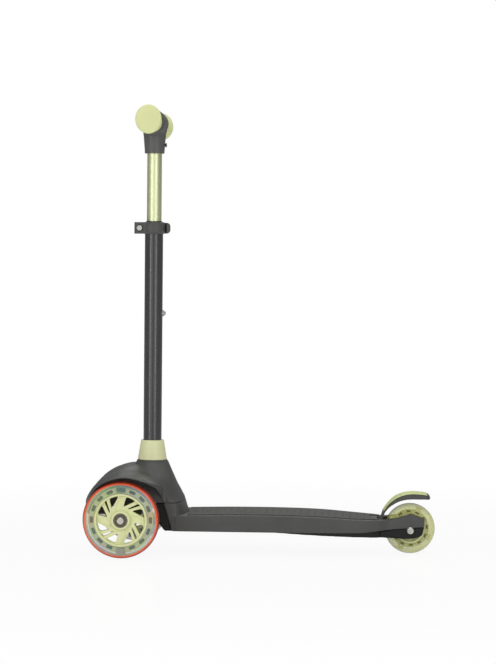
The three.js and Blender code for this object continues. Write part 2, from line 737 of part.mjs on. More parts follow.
function buildDeck() {
  const body = [
    [neckFoot, deckBottom], [neckFoot, deckTop - deckWall],
    ...deckTopLine(0),
    ...armTop(),
    armTail,
    [wheelSlotFront - 2 * overrun, deckBottom],
  ];
  const slab = common(wallY(body, -deckHalf, deckHalf), wallZ(deckPlan(0), 0, 2 * deckTop));
  const neckSide = [
    [neckFront, seamHeight - seatGap / 2], [neckFoot, deckBottom],
    [neckRear + overrun, deckBottom], [neckRear + overrun, seamHeight - seatGap / 2],
  ];
  const neck = common(neckLoft(neckFootShares, 0, seamHeight, 0), wallY(neckSide, -deckHalf, deckHalf));
  const inner = deckHalf - deckWall;
  const roomTop = deckTopLine(deckWall);
  const room = common(
    wallY(
      [
        [neckFoot - overrun, -overrun], [neckFoot - overrun, roomTop[0][1]], ...roomTop, [deckRear, -overrun],
      ],
      -inner, inner,
    ),
    block([0, -inner, -overrun], [wheelSlotFront - deckWall, inner, 2 * deckTop]),
    wallZ(deckPlan(deckWall), -overrun, 2 * deckTop),
  );
  const neckRoom = wallZ(neckPlan(deckWall), -overrun, 2 * seamHeight);
  const matBed = common(
    matOutline(-seatGap),
    wallY(
      [...deckTopLine(matSunk), [deckRear, deckTop + overrun], [neckFront, deckTop + overrun]],
      -deckHalf, deckHalf,
    ),
  );
  const pinHole = rodY(
    brakePinRadius + seatGap, -brakePinHalf - seatGap, brakePinHalf + seatGap, smallSides,
    brakePivotX, brakePivotHeight,
  );
  const bossHalf = wheelSlotHalf + ribThickness + seatGap;
  const bossNotch = rodY(axleBossRadius + seatGap, -bossHalf, bossHalf, tubeSides, wheelbase, rearTyreRadius);
  const shell = cut(join(slab, neck), room, neckRoom, matBed, wheelSlot(), pinHole, bossNotch, axleHole());
  piece('deck_shell', shell, greyPlastic, frame);
}

function buildMat() {
  const upper = deckTopLine(-matProud);
  const lower = deckTopLine(matSunk - seatGap);
  const band = wallY([...upper, ...lower.reverse()], -deckHalf, deckHalf);
  piece('grip_mat', common(band, matOutline(0)), matRubber, frame);
}

// Places a solid made about Z along the kingpin, from the front axle's line.
function onKingpin(solid) {
  return solid.rotate([0, -kingpinLean, 0]).translate([0, 0, frontTyreRadius]);
}

// A round rod about Z.
function roundZ(radius, z0, z1, x = 0, y = 0) {
  return rodZ(radius, radius, z0, z1, tubeSides, x, y);
}

// A round rod about the kingpin's axis.
function kingpinRod(radius, from, to) {
  return onKingpin(roundZ(radius, from, to));
}

function chassisFoot() {
  const drop = deckBottom - (rearTyreRadius - chassisDrop);
  return spread(chassisFootShares, [chassisBreak, deckBottom], [deckRear - chassisBreak, -drop]);
}

function buildChassis() {
  const inner = deckHalf - deckWall - seatGap;
  const panTop = deckBottom + 2 * ribThickness;
  const noseX = neckFront - ribThickness;
  const panFoot = [[neckFoot - ribThickness, deckBottom], ...chassisFoot()];
  const panEnd = wheelSlotFront - deckWall - seatGap;
  const panSide = [...panFoot, [deckRear, deckBottom], [deckRear, panTop], [neckFoot - ribThickness, panTop]];
  const pan = common(
    wallY(panSide, -inner, inner),
    wallZ(deckPlan(deckWall + seatGap), 0, 2 * deckTop),
    block([0, -deckHalf, 0], [panEnd, deckHalf, deckTop]),
  );
  const armSide = [
    ...chassisFoot(), [deckRear, rearTyreRadius + armTailRise - seatGap],
    [wheelSlotFront - 2 * overrun, deckBottom - seatGap],
    [chassisBreak + overrun, deckBottom - seatGap],
  ];
  const arms = common(
    wallY(armSide, -deckHalf, deckHalf),
    wallZ(deckPlan(deckWall + seatGap), 0, 2 * deckTop),
    block([panEnd - overrun, -deckHalf, 0], [wheelSlotFront + ribThickness, deckHalf, deckTop]),
  );
  const tails = common(
    wallY(armSide, -armOuterHalf, armOuterHalf),
    block([panEnd, -armOuterHalf, 0], [deckRear, armOuterHalf, deckTop]),
  );
  const noseSide = [
    [nosePlateFront, seamHeight - runGap], [nosePlateFront, deckTop - ribThickness],
    [neckFront - 2 * ribThickness, deckBottom + 3 * ribThickness], [neckFoot - 3 * ribThickness, deckBottom],
    [neckFoot + 2 * ribThickness, deckBottom], [neckFoot + 2 * ribThickness, seamHeight - runGap],
  ];
  const nose = common(wallY(noseSide, -inner, inner), wallZ(neckPlan(deckWall + seatGap), 0, 2 * deckTop));
  const tongueFoot = frontTyreRadius + tongueBottomRise;
  const shelf = block(
    [noseX, -2 * tongueHalf, seamHeight - overrun], [shelfRear, 2 * tongueHalf, tongueTop],
  );
  const tongue = block([tongueFront, -tongueHalf, tongueFoot], [noseX + overrun, tongueHalf, tongueTop]);
  const crossPlate = block(
    [-crossPlateDepth / 2, -crossPlateHalf, tongueFoot],
    [crossPlateDepth / 2, crossPlateHalf, tongueFoot + crossPlateThickness],
  );
  const boss = kingpinRod(kingpinBossRadius, tongueBossBottom, tongueBossTop);
  const roofDrop = deckWall + seatGap;
  const roof = deckTopLine(roofDrop);
  const ribs = Array.from({ length: ribCount }, (_, i) => {
    const x = neckRear + ((i + 1) * (panEnd - neckRear)) / (ribCount + 1);
    return common(
      block([x, -inner, deckBottom], [x + ribThickness, inner, deckTop]),
      wallY([[neckFoot, deckBottom], ...roof, [roof[roof.length - 1][0], deckBottom]], -inner, inner),
      wallZ(deckPlan(deckWall + seatGap), 0, 2 * deckTop),
    );
  });
  const axleBosses = [-1, 1].map((side) => {
    const face = side * (rearWheel.bossHalf + runGap);
    const root = side * (wheelSlotHalf + ribThickness);
    const [y0, y1] = [Math.min(face, root), Math.max(face, root)];
    return rodY(axleBossRadius, y0, y1, tubeSides, wheelbase, rearTyreRadius);
  });
  const body = cut(join(pan, arms, tails, nose, shelf, tongue, crossPlate, boss, ...ribs), wheelSlot());
  const pinBore = kingpinRod(kingpinRadius + seatGap, tongueBossBottom - runGap, tongueBossTop + overrun);
  const headRoom = kingpinRod(kingpinHeadRadius + runGap, tongueBossTop, tongueBossTop + 2 * overrun);
  const boltBore = rodZ(
    stemBoltRadius + seatGap, stemBoltRadius + seatGap, 0, tongueTop + overrun, bearingSides, stemSetback,
  );
  const chassis = cut(join(body, ...axleBosses), axleHole(), pinBore, headRoom, boltBore);
  piece('chassis', chassis, blackPlastic, frame);
}

// Steering: the beam that carries both front axles swings on a leaning kingpin.
function buildSteering() {
  const beamEnd = trackHalf - frontWheel.bossHalf - beamEndGap;
  const axle = frontTyreRadius;
  const boss = kingpinRod(kingpinBossRadius, beamBossBottom, beamBossTop);
  const bars = [-1, 1].map((side) => {
    const inner = side * (kingpinHeadRadius + 2 * seatGap);
    const outer = side * beamEnd;
    return block(
      [-beamHalfDepth, Math.min(inner, outer), axle - beamHalfHeight],
      [beamHalfDepth, Math.max(inner, outer), axle + beamHalfHeight],
    );
  });
  const bushRadius = kingpinRadius + seatGap + bushWall;
  const bushBore = kingpinRod(bushRadius + seatGap, beamBossBottom - overrun, beamBossTop + overrun);
  const nutFoot = beamBossBottom - runGap - kingpinNutHeight;
  const nutRoom = kingpinRod(kingpinHeadRadius + runGap, nutFoot - overrun, beamBossBottom);
  const boltBores = [-1, 1].map((side) => {
    const inner = side * (beamEnd - axleThreadDepth - seatGap);
    const outer = side * (beamEnd + overrun);
    return rodY(boreRadius, Math.min(inner, outer), Math.max(inner, outer), bearingSides, 0, axle);
  });
  piece('steering_beam', cut(join(boss, ...bars), bushBore, nutRoom, ...boltBores), blackPlastic, frame);

  const bush = cut(
    kingpinRod(bushRadius, beamBossBottom, beamBossTop),
    kingpinRod(kingpinRadius + seatGap, -2 * overrun, 2 * overrun),
  );
  piece('kingpin_bush', bush, darkRubber, frame);

  const headFoot = tongueBossTop + seatGap;
  const shank = roundZ(kingpinRadius, nutFoot - seatGap, headFoot + kingpinHeadHeight / 2);
  const head = rodZ(kingpinHeadRadius, kingpinHeadRadius, headFoot, headFoot + kingpinHeadHeight, hexSides);
  piece('kingpin', onKingpin(join(shank, head)), steel, frame);

  const nut = cut(
    rodZ(kingpinHeadRadius, kingpinHeadRadius, nutFoot, nutFoot + kingpinNutHeight, hexSides),
    roundZ(kingpinRadius + seatGap, -2 * overrun - kingpinNutHeight, 2 * overrun),
  );
  piece('kingpin_nut', onKingpin(nut), steel, frame);

  for (const [side, word] of [[-1, 'left'], [1, 'right']]) {
    const foot = axle + beamHalfHeight + seatGap;
    const top = axle + tongueBottomRise - seatGap;
    const rubber = rodZ(rubberRadius, rubberRadius, foot, top, smallSides, 0, side * rubberOffset);
    piece(`return_rubber_${word}`, rubber, darkRubber, frame);
  }
}

// Upright tubes, their clamp and the height catch.
function tubeSolid(radius, wall, z0, z1) {
  return cut(
    rodZ(radius, radius, z0, z1, tubeSides),
    rodZ(radius - wall, radius - wall, z0 - overrun, z1 + overrun, tubeSides),
  );
}

function buildStem() {
  const stem = groupAt(frame, stemSetback, 0, 0);
  const foot = tongueTop + seatGap;
  const bushTop = clampTopHeight + runGap;
  const tubeTop = clampTopHeight - seatGap;
  const catchHole = rodX(catchRadius + seatGap, 0, lowerTubeRadius + overrun, smallSides, 0, catchHeight);
  const slit = block(
    [-lowerTubeRadius - overrun, -slitWidth / 2, tubeTop - slitLength],
    [0, slitWidth / 2, tubeTop + overrun],
  );
  const lower = cut(tubeSolid(lowerTubeRadius, lowerTubeWall, foot, tubeTop), catchHole, slit);
  piece('lower_tube', lower, darkTube, stem);

  const plugTop = foot + stemPlugLength;
  const boltRoom = stemBoltRadius + seatGap;
  const plug = cut(
    roundZ(lowerTubeInner - seatGap, foot, plugTop),
    rodZ(boltRoom, boltRoom, foot - overrun, plugTop + overrun, bearingSides),
  );
  piece('stem_plug', plug, steel, stem);

  const headTop = frontTyreRadius + tongueBottomRise - seatGap;
  const bolt = join(
    rodZ(stemBoltRadius, stemBoltRadius, headTop - stemBoltHeadHeight / 2, plugTop, bearingSides),
    rodZ(stemBoltHeadRadius, stemBoltHeadRadius, headTop - stemBoltHeadHeight, headTop, hexSides),
  );
  piece('stem_bolt', bolt, steel, stem);

  const collar = cut(
    rodZ(collarFootRadius, collarTopRadius, collarFootHeight, collarTopHeight, tubeSides),
    rodZ(lowerTubeRadius + seatGap, lowerTubeRadius + seatGap, 0, clampTopHeight, tubeSides),
  );
  piece('stem_collar', collar, limePlastic, stem);

  const bushOuter = lowerTubeInner - seatGap;
  const bushInner = upperTubeRadius + seatGap;
  const bush = cut(
    join(
      rodZ(bushOuter, bushOuter, tubeTop - bushLength, bushTop, tubeSides),
      rodZ(lowerTubeRadius, lowerTubeRadius, tubeTop + seatGap, bushTop + bushFlange, tubeSides),
    ),
    rodZ(bushInner, bushInner, 0, 2 * clampTopHeight, tubeSides),
  );
  piece('tube_bush', bush, blackPlastic, stem);

  const ring = cut(
    rodX(catchRingRadius, 0, lowerTubeRadius + catchRingDepth, tubeSides, 0, catchHeight),
    rodX(catchRadius + seatGap, 0, 2 * lowerTubeRadius, smallSides, 0, catchHeight),
    rodZ(lowerTubeRadius + seatGap, lowerTubeRadius + seatGap, 0, clampTopHeight, tubeSides),
  );
  piece('catch_ring', ring, steel, stem);

  const catchInner = upperTubeRadius + runGap;
  const button = rodX(catchRadius, catchInner, lowerTubeRadius + catchProud, smallSides, 0, catchHeight);
  piece('height_catch', button, steel, stem);

  const holes = [0, stemDrop, -stemLift].map((rise) => rodX(
    catchRadius + runGap, 0, lowerTubeRadius, smallSides, 0, catchHeight + rise,
  ));
  const upperTop = gripCentreHeight - barCoreRadius - 2 * seatGap;
  const screwHeight = socketFootHeight + handleScrewRise;
  const screwHole = rodX(handleScrewRadius + seatGap, 0, barrelRadius, smallSides, 0, screwHeight);
  const upper = cut(tubeSolid(upperTubeRadius, upperTubeWall, upperTubeFoot, upperTop), ...holes, screwHole);
  piece('upper_tube', upper, limeMetal, stem);
  buildClamp(stem);
  buildHandlebar(stem, upperTop, screwHeight);
}

function buildClamp(stem) {
  const foot = clampFootHeight;
  const middle = foot + clampHeight / 2;
  const bandOuter = lowerTubeRadius + clampWall;
  const band = rodZ(bandOuter, bandOuter, foot, clampTopHeight, tubeSides);
  const ears = block([-earReach, -earHalf, foot], [0, earHalf, clampTopHeight]);
  const bore = rodZ(lowerTubeRadius + seatGap, lowerTubeRadius + seatGap, 0, 2 * clampTopHeight, tubeSides);
  const slot = block([-earReach - overrun, -earGapHalf, 0], [0, earGapHalf, 2 * clampTopHeight]);
  const rodHole = rodY(
    clampRodRadius + seatGap, -earHalf - overrun, earHalf + overrun, smallSides, -clampRodSetback, middle,
  );
  const nutBedTop = clampNutHeight / 2 - earHalf;
  const nutBed = rodY(
    clampNutRadius + runGap, -earHalf - overrun, nutBedTop, tubeSides, -clampRodSetback, middle,
  );
  piece('clamp_band', cut(join(band, ears), bore, slot, rodHole, nutBed), greyPlastic, stem);

  const nutFoot = nutBedTop - seatGap;
  const nut = cut(
    rodY(clampNutRadius, nutFoot - clampNutHeight, nutFoot, hexSides, -clampRodSetback, middle),
    rodY(clampRodRadius + seatGap, -2 * earHalf, 0, smallSides, -clampRodSetback, middle),
  );
  piece('clamp_nut', nut, chrome, stem);

  const eyeRadius = leverPinRadius + 2 * seatGap + leverPinRadius;
  const eye = rodZ(
    eyeRadius, eyeRadius, middle - clampRodRadius, middle + clampRodRadius, smallSides,
    -clampRodSetback, leverPinReach,
  );
  const shaft = rodY(
    clampRodRadius, nutFoot - clampNutHeight, leverPinReach, smallSides, -clampRodSetback, middle,
  );
  const eyeBoreRadius = leverPinRadius + seatGap;
  const eyeBore = rodZ(
    eyeBoreRadius, eyeBoreRadius, foot, clampTopHeight, smallSides, -clampRodSetback, leverPinReach,
  );
  const rod = cut(join(shaft, eye), eyeBore);
  piece('clamp_rod', rod, chrome, stem);

  const leverFoot = middle - leverHeight / 2;
  const leverTop = middle + leverHeight / 2;
  const pin = rodZ(
    leverPinRadius, leverPinRadius, leverFoot, leverTop, smallSides, -clampRodSetback, leverPinReach,
  );
  piece('lever_pin', pin, steel, stem);
  piece('clamp_lever', leverSolid(leverFoot, leverTop, middle, eyeRadius), greyPlastic, stem);
}

// The lever leaves its pin on the far side and wraps round the band to the rear.
function leverSolid(foot, top, middle, eyeRadius) {
  const inner = lowerTubeRadius + clampWall + leverBandGap;
  const outer = inner + leverThickness;
  const steps = 8;
  const turn = (i) => 90 - (i * leverSweep) / steps;
  const arc = (radius) => Array.from({ length: steps + 1 }, (_, i) => polar(radius, turn(i)));
  const head = [-clampRodSetback, leverPinReach];
  const outline = [
    ...arc(outer),
    ...arc(inner).reverse(),
    [head[0], Math.max(inner, head[1] - leverHeadRadius)],
    [head[0], outer],
  ];
  const arm = wallZ(outline, foot, top);
  const knuckle = rodZ(leverHeadRadius, leverHeadRadius, foot, top, tubeSides, ...head);
  const rodHalf = clampRodRadius + runGap;
  const eyeRoom = roundZ(eyeRadius + runGap, middle - rodHalf, middle + rodHalf, ...head);
  const [swungX, swungY] = polar(2 * leverHeadRadius, -90 - leverSwing);
  const [edgeX, edgeY] = polar(rodHalf, -leverSwing);
  const rodRoom = wallZ([
    [head[0] + rodHalf, -earHalf],
    [head[0] + rodHalf, head[1]],
    [head[0] - edgeX, head[1] - edgeY],
    [head[0] - edgeX + swungX, head[1] - edgeY + swungY],
    [head[0] + swungX, -earHalf],
  ], middle - rodHalf, middle + rodHalf);
  const pinHole = rodZ(
    leverPinRadius + runGap / 2, leverPinRadius + runGap / 2, 0, 2 * clampTopHeight, smallSides, ...head,
  );
  return cut(join(arm, knuckle), eyeRoom, rodRoom, pinHole);
}

// Handlebar: a socket on the upper tube, with a cross tube and two grips.
function buildHandlebar(stem, upperTop, screwHeight) {
  const barrel = rodY(barrelRadius, -barrelHalf, barrelHalf, tubeSides, 0, gripCentreHeight);
  const socket = rodZ(socketFootRadius, socketTopRadius, socketFootHeight, gripCentreHeight, tubeSides);
  const tubeBore = upperTubeRadius + seatGap;
  const barBore = barCoreRadius + seatGap;
  const handle = cut(
    join(barrel, socket),
    rodZ(tubeBore, tubeBore, socketFootHeight - overrun, upperTop + seatGap, tubeSides),
    rodY(barBore, -2 * barrelHalf, 2 * barrelHalf, tubeSides, 0, gripCentreHeight),
    rodX(handleScrewRadius + seatGap, 0, 2 * barrelRadius, smallSides, 0, screwHeight),
  );
  piece('t_handle', handle, greyPlastic, stem);

  const screwTopShare = (handleScrewRise + handleScrewHeadRadius) / socketDrop;
  const headFoot = THREE.MathUtils.lerp(socketFootRadius, socketTopRadius, screwTopShare) + seatGap;
  const headTop = headFoot + handleScrewHeadHeight;
  const screw = join(
    rodX(handleScrewRadius, upperTubeInner - seatGap, headTop, smallSides, 0, screwHeight),
    rodX(handleScrewHeadRadius, headFoot, headTop, hexSides, 0, screwHeight),
  );
  piece('t_handle_screw', screw, steel, stem);

  const coreEnd = handlebarHalf - gripEndThickness + seatGap;
  const core = cut(
    rodY(barCoreRadius, -coreEnd, coreEnd, tubeSides, 0, gripCentreHeight),
    rodY(barCoreRadius - upperTubeWall, -handlebarHalf, handlebarHalf, tubeSides, 0, gripCentreHeight),
  );
  piece('handlebar_core', core, steel, stem);

  for (const [side, word] of [[-1, 'left'], [1, 'right']]) {
    const root = barrelHalf + runGap;
    const bore = barCoreRadius + seatGap;
    const profile = [
      [bore / gripOvalShare, root],
      [gripInnerFlangeRadius, root],
      [gripInnerFlangeRadius, root + gripInnerThickness / 2],
      [gripRadius, root + gripInnerThickness],
      [gripRadius, handlebarHalf - gripTaper],
      [gripEndRadius, handlebarHalf - gripEndThickness],
      [gripEndRadius, handlebarHalf - gripEndThickness / 4],
      [gripEndRadius - gripEndThickness / 4, handlebarHalf],
      [0, handlebarHalf],
      [0, coreEnd + seatGap],
      [bore / gripOvalShare, coreEnd + seatGap],
    ].map(([r, y]) => new THREE.Vector2(r, side * y));
    const ordered = [...profile, profile[0]];
    const wound = side > 0 ? ordered : ordered.reverse();
    const geometry = new THREE.LatheGeometry(wound, tubeSides, Math.PI / tubeSides);
    geometry.scale(gripOvalShare, 1, 1);
    geometry.translate(0, 0, gripCentreHeight);
    piece(`grip_${word}`, solidOf(geometry), limeRubber, stem);
  }
}

// Rear wheel between the arms, and the brake over it.
function buildRearWheel() {
  const hub = groupAt(frame, wheelbase, 0, rearTyreRadius);
  buildWheel('rear', rearWheel, clearTyre, hub, -1);
  const armHalf = armOuterHalf + seatGap;
  piece('rear_magnet_sleeve', axleSleeve(rearWheel), copper, hub);
  const bolt = join(
    rodY(axleRadius, -armHalf - rearBoltHeadHeight / 2, armHalf + rearBoltEnd, bearingSides),
    rodY(rearBoltHeadRadius, -armHalf - rearBoltHeadHeight, -armHalf, smallSides),
  );
  piece('rear_axle_bolt', bolt, chrome, hub);
  const nut = cut(
    rodY(rearBoltHeadRadius, armHalf, armHalf + rearBoltHeadHeight, hexSides),
    rodY(axleRadius + seatGap, 0, 2 * armHalf, bearingSides),
  );
  piece('rear_axle_nut', nut, steel, hub);
}

// Angles about the rear axle where the brake's thickness is given, from the tip back to the root.
const brakeAngles = [62, 74, 86, 98, 110, 122, 134, 146, 154];
// Its thickness there, as shares of the way from the root's thickness to the deepest.
const brakeDeepShares = [0.72, 0.96, 1, 0.9, 0.74, 0.52, 0.28, 0.1, 0];
// How far its underside lifts away from the tyre towards the tip, as shares of the brake's gap.
const brakeLiftShares = [0.85, 0.3, 0.06, 0, 0, 0, 0, 0, -0.12];

// The tip seen from above, as shares of its length and half width.
const brakeTipShares = [[0, 0.96], [0.5, 0.8], [1, 0.5], [1, 0]];

function brakeArc(drop, first, last) {
  const points = brakeAngles.map((degrees, i) => {
    const under = rearTyreRadius + brakeGap + brakeLiftShares[i] * brakeGap;
    const deep = brakeRootDeep + brakeDeepShares[i] * (brakeTipDeep - brakeRootDeep);
    return { degrees, radius: drop === null ? under : under + deep - drop };
  });
  return points.slice(first, last).map(({ degrees, radius }) => polar(radius, degrees));
}

function buildBrake() {
  const brake = groupAt(frame, wheelbase, 0, rearTyreRadius);
  const count = brakeAngles.length;
  const pivot = [brakePivotX - wheelbase, brakePivotHeight - rearTyreRadius];
  const upper = brakeArc(0, 0, count);
  const under = brakeArc(null, 0, count);
  const rootTop = [pivot[0] - brakeKnuckleRadius / 2, pivot[1] + brakeKnuckleRadius / 2];
  const rootFoot = [pivot[0] + brakeKnuckleRadius / 2, pivot[1] + brakeKnuckleRadius / 3];
  const body = wallY([...upper, rootTop, rootFoot, ...under.reverse()], -brakeHalf, brakeHalf);
  const widthPlan = mirrored([
    [pivot[0] - overrun, 0], [pivot[0] - overrun, brakeRootHalf], [pivot[0] + overrun, brakeRootHalf],
    [pivot[0] + brakeFlare, brakeHalf],
    ...spread(brakeTipShares, [armReach, 0], [brakeTipReach, brakeHalf]),
  ]);
  const plan = wallZ(widthPlan, -rearTyreRadius, 2 * rearTyreRadius);
  const knuckle = rodY(brakeKnuckleRadius, -brakeRootHalf, brakeRootHalf, tubeSides, ...pivot);
  const pinBore = rodY(brakePinRadius + runGap / 2, -brakeHalf, brakeHalf, smallSides, ...pivot);
  const coverBed = wallY(
    [...brakeArc(-overrun, 0, count - 1), ...brakeArc(coverThickness + seatGap, 0, count - 1).reverse()],
    -brakeHalf - overrun, brakeHalf + overrun,
  );
  piece('brake_fender', cut(join(common(body, plan), knuckle), pinBore, coverBed), greyPlastic, brake);

  const coverFoot = brakeArc(coverThickness, 0, count - 1).reverse();
  const cover = wallY([...brakeArc(0, 0, count - 1), ...coverFoot], -brakeHalf, brakeHalf);
  piece('brake_cover', common(cover, plan), limePlastic, brake);

  const pin = rodY(brakePinRadius, -brakePinHalf, brakePinHalf, smallSides, ...pivot);
  piece('brake_pin', pin, steel, brake);

  const leafX = brakeLeafFoot - wheelbase;
  const leaf = block(
    [leafX, -brakeSpringHalf, pivot[1] - 2 * brakeKnuckleRadius],
    [leafX + brakeSpringThickness, brakeSpringHalf, pivot[1] + brakeKnuckleRadius / 2],
  );
  piece('brake_spring', leaf, steel, brake);
}

buildHood();
buildDeck();
buildMat();
buildChassis();
buildSteering();
buildFrontWheels();
buildStem();
buildRearWheel();
buildBrake();

export default group;
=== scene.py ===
# Looks of a three-wheel kids' scooter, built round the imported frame. Sizes are in millimetres.
# X runs from the nose to the rear wheel, Y to the rider's right and Z up.

import math

import bmesh
import bpy
from mathutils import Matrix, Vector


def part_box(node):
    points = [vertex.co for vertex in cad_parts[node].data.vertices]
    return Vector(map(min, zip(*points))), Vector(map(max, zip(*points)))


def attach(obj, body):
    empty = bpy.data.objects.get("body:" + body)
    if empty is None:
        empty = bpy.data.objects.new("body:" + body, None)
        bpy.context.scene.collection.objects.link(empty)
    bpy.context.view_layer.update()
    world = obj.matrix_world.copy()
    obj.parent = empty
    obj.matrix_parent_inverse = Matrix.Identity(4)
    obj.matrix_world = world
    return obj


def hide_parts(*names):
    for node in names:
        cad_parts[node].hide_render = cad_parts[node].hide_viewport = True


MM = 0.001
IMAGE_HEIGHT = 664

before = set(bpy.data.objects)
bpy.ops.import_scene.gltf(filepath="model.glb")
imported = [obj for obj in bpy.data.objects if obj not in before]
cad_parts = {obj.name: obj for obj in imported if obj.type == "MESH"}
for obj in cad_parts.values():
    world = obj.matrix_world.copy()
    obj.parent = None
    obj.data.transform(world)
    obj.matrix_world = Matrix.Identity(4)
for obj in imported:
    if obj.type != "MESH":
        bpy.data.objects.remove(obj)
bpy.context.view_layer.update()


def box_mm(node):
    """The lowest and highest corner of a CAD node, in millimetres."""
    low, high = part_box(node)
    return low / MM, high / MM


def centre_mm(node):
    low, high = box_mm(node)
    return (low + high) / 2


# Places read from the frame
front_axle = centre_mm("front_right_tyre")
rear_axle = centre_mm("rear_tyre")
axle_x = front_axle.x
wheelbase = rear_axle.x - axle_x
track_half = front_axle.y
stem_x = centre_mm("lower_tube").x
stem_setback = stem_x - axle_x
on_stem = (stem_x, 0, 0)
catch_z = centre_mm("height_catch").z
grip_centre_z = centre_mm("handlebar_core").z
brake_pin = centre_mm("brake_pin")

# Clearances
seat_gap = 0.3
run_gap = 0.6
overrun = 12  # how far a cutting shape reaches past what it cuts
nudge = 1  # keeps the faces of two cutting shapes out of one plane

# Sides of round shapes
tube_sides = 128
boss_sides = 64
hole_sides = 48
pin_sides = 32

# Degrees between faces from which an edge stays sharp or is rounded
sharp_angle = 50
moulded_angle = 40
hub_angle = 38
bevel_angle = 32

# Front hood
hood_radius = 77.9
hood_setback = 14
hood_wall = 3.2
hood_cheek_half = 85
hood_hem_rise = 6
fender_half = 121
fender_radius = 70.6
fender_edge_radius = 66.9
fender_setback = 6
fender_rise = 1.5
fender_rear = 76
well_radius = 64.9
rear_gap_radius = 66.6
rear_gap_half = 57.5
rear_gap_front = 30
seam_height = 81.5
hood_top_height = 145
socket_wall = 4.5
beam_slot_half = 20
beam_slot_rise = 18
tongue_top = 96
collar_foot_radius = 23.3
collar_top_radius = 18.2

# Deck
deck_half = 58.8
deck_top = 63
deck_bottom = 36.6
deck_wall = 4.2
rib_thickness = 4
neck_front = 62.5
neck_foot = 76
neck_rear = 92.5
neck_half = 58
neck_bulge = 6
mat_inset = 9
mat_sunk = 1
mat_proud = 1.3
mat_front = 100
mat_rear = 404
arm_reach = 22.5
arm_peak_rise = 25.3
arm_tail_rise = 5.4
wheel_slot_half = 17.3
wheel_slot_front = 400.9
axle_boss_radius = 8
stud_pitch = 11.2
stud_length = 7.4
stud_width = 2.4
stud_rise = 0.35
stud_turn = 45
stud_bare_length = 22  # no studs beside the brake's pivot
stud_bare_half = 27

# Tubes
lower_tube_radius = 14.5
lower_tube_wall = 1.5
upper_tube_radius = 11.7
upper_tube_wall = 1.4

# Brake
brake_half = 20
brake_knuckle_radius = 4.4
brake_pin_radius = 2.2
brake_pin_half = 25

deck_rear = wheelbase + arm_reach
nose_reach = hood_radius - hood_setback


# Mesh helpers


def link(obj):
    bpy.context.scene.collection.objects.link(obj)
    return obj


def mesh_object(name, points, faces):
    """A mesh from points in millimetres."""
    mesh = bpy.data.meshes.new(name)
    mesh.from_pydata([Vector(p) * MM for p in points], [], faces)
    mesh.validate()
    return link(bpy.data.objects.new(name, mesh))


def settled(obj):
    """Applies the object's modifiers to its mesh."""
    graph = bpy.context.evaluated_depsgraph_get()
    graph.update()
    mesh = bpy.data.meshes.new_from_object(obj.evaluated_get(graph))
    obj.modifiers.clear()
    obj.data = mesh
    return obj


def outward(obj):
    """Turns all faces outwards."""
    made = bmesh.new()
    made.from_mesh(obj.data)
    bmesh.ops.recalc_face_normals(made, faces=made.faces)
    made.to_mesh(obj.data)
    made.free()
    return obj


def polar(radius, degrees):
    angle = math.radians(degrees)
    return radius * math.cos(angle), radius * math.sin(angle)


def mix(a, b, share):
    return a + (b - a) * share


def spline(points, steps=6):
    """A smooth line through the points."""
    last = len(points) - 1
    line = []
    for i in range(last):
        a, b, c, d = (points[min(max(i + k, 0), last)] for k in (-1, 0, 1, 2))
        for step in range(steps):
            t = step / steps
            line.append(tuple(
                0.5 * (
                    2 * q + (r - p) * t + (2 * p - 5 * q + 4 * r - s) * t**2
                    + (3 * q - p - 3 * r + s) * t**3
                )
                for p, q, r, s in zip(a, b, c, d)
            ))
    line.append(tuple(points[-1]))
    return line


CORNER_SHARE = 2.2  # a corner's rounding takes at most one part in this many of a side


def rounded(points, radius, steps=4):
    """A closed outline with its corners rounded."""
    line = []
    count = len(points)
    for i in range(count):
        before, corner, after = (Vector(points[(i + k) % count]) for k in (-1, 0, 1))
        sides = ((before - corner).length, (after - corner).length)
        reach = min(radius, *(side / CORNER_SHARE for side in sides))
        start = corner + (before - corner).normalized() * reach
        end = corner + (after - corner).normalized() * reach
        for step in range(steps + 1):
            t = step / steps
            line.append(tuple((1 - t) ** 2 * start + 2 * t * (1 - t) * corner + t**2 * end))
    return line


def circle(radius, steps=96):
    return [polar(radius, 360 * i / steps) for i in range(steps)]


def rings_object(name, rings):
    """Skins a row of rings that hold the same number of points, and closes its ends."""
    sides = len(rings[0])
    points = [p for ring in rings for p in ring]
    faces = []
    for k in range(len(rings) - 1):
        near, far = k * sides, (k + 1) * sides
        for i in range(sides):
            after = (i + 1) % sides
            faces.append((near + i, near + after, far + after, far + i))
    faces.append(tuple(reversed(range(sides))))
    faces.append(tuple(range(len(points) - sides, len(points))))
    return outward(mesh_object(name, points, faces))


AXES = {
    "X": lambda along, a, b: (along, a, b),
    "Y": lambda along, a, b: (a, along, b),
    "Z": lambda along, a, b: (a, b, along),
}


def turned(name, profile, axis, centre=(0, 0, 0), steps=96, oval=1.0):
    """A closed profile of (radius, along) turned round an axis; a radius of zero lies on the axis."""
    place = AXES[axis]
    made = bmesh.new()
    columns = []
    for radius, along in profile:
        if radius == 0:
            spot = made.verts.new((Vector(place(along, 0, 0)) + Vector(centre)) * MM)
            columns.append([spot] * steps)
            continue
        column = []
        for i in range(steps):
            a, b = polar(radius, 360 * (i + 0.5) / steps)
            column.append(made.verts.new((Vector(place(along, a * oval, b)) + Vector(centre)) * MM))
        columns.append(column)
    for k in range(len(columns)):
        one, two = columns[k], columns[(k + 1) % len(columns)]
        for i in range(steps):
            after = (i + 1) % steps
            corners = [one[i], one[after], two[after], two[i]]
            unique = list(dict.fromkeys(corners))
            if len(unique) > 2:
                made.faces.new(unique)
    mesh = bpy.data.meshes.new(name)
    bmesh.ops.recalc_face_normals(made, faces=made.faces)
    made.to_mesh(mesh)
    made.free()
    return link(bpy.data.objects.new(name, mesh))


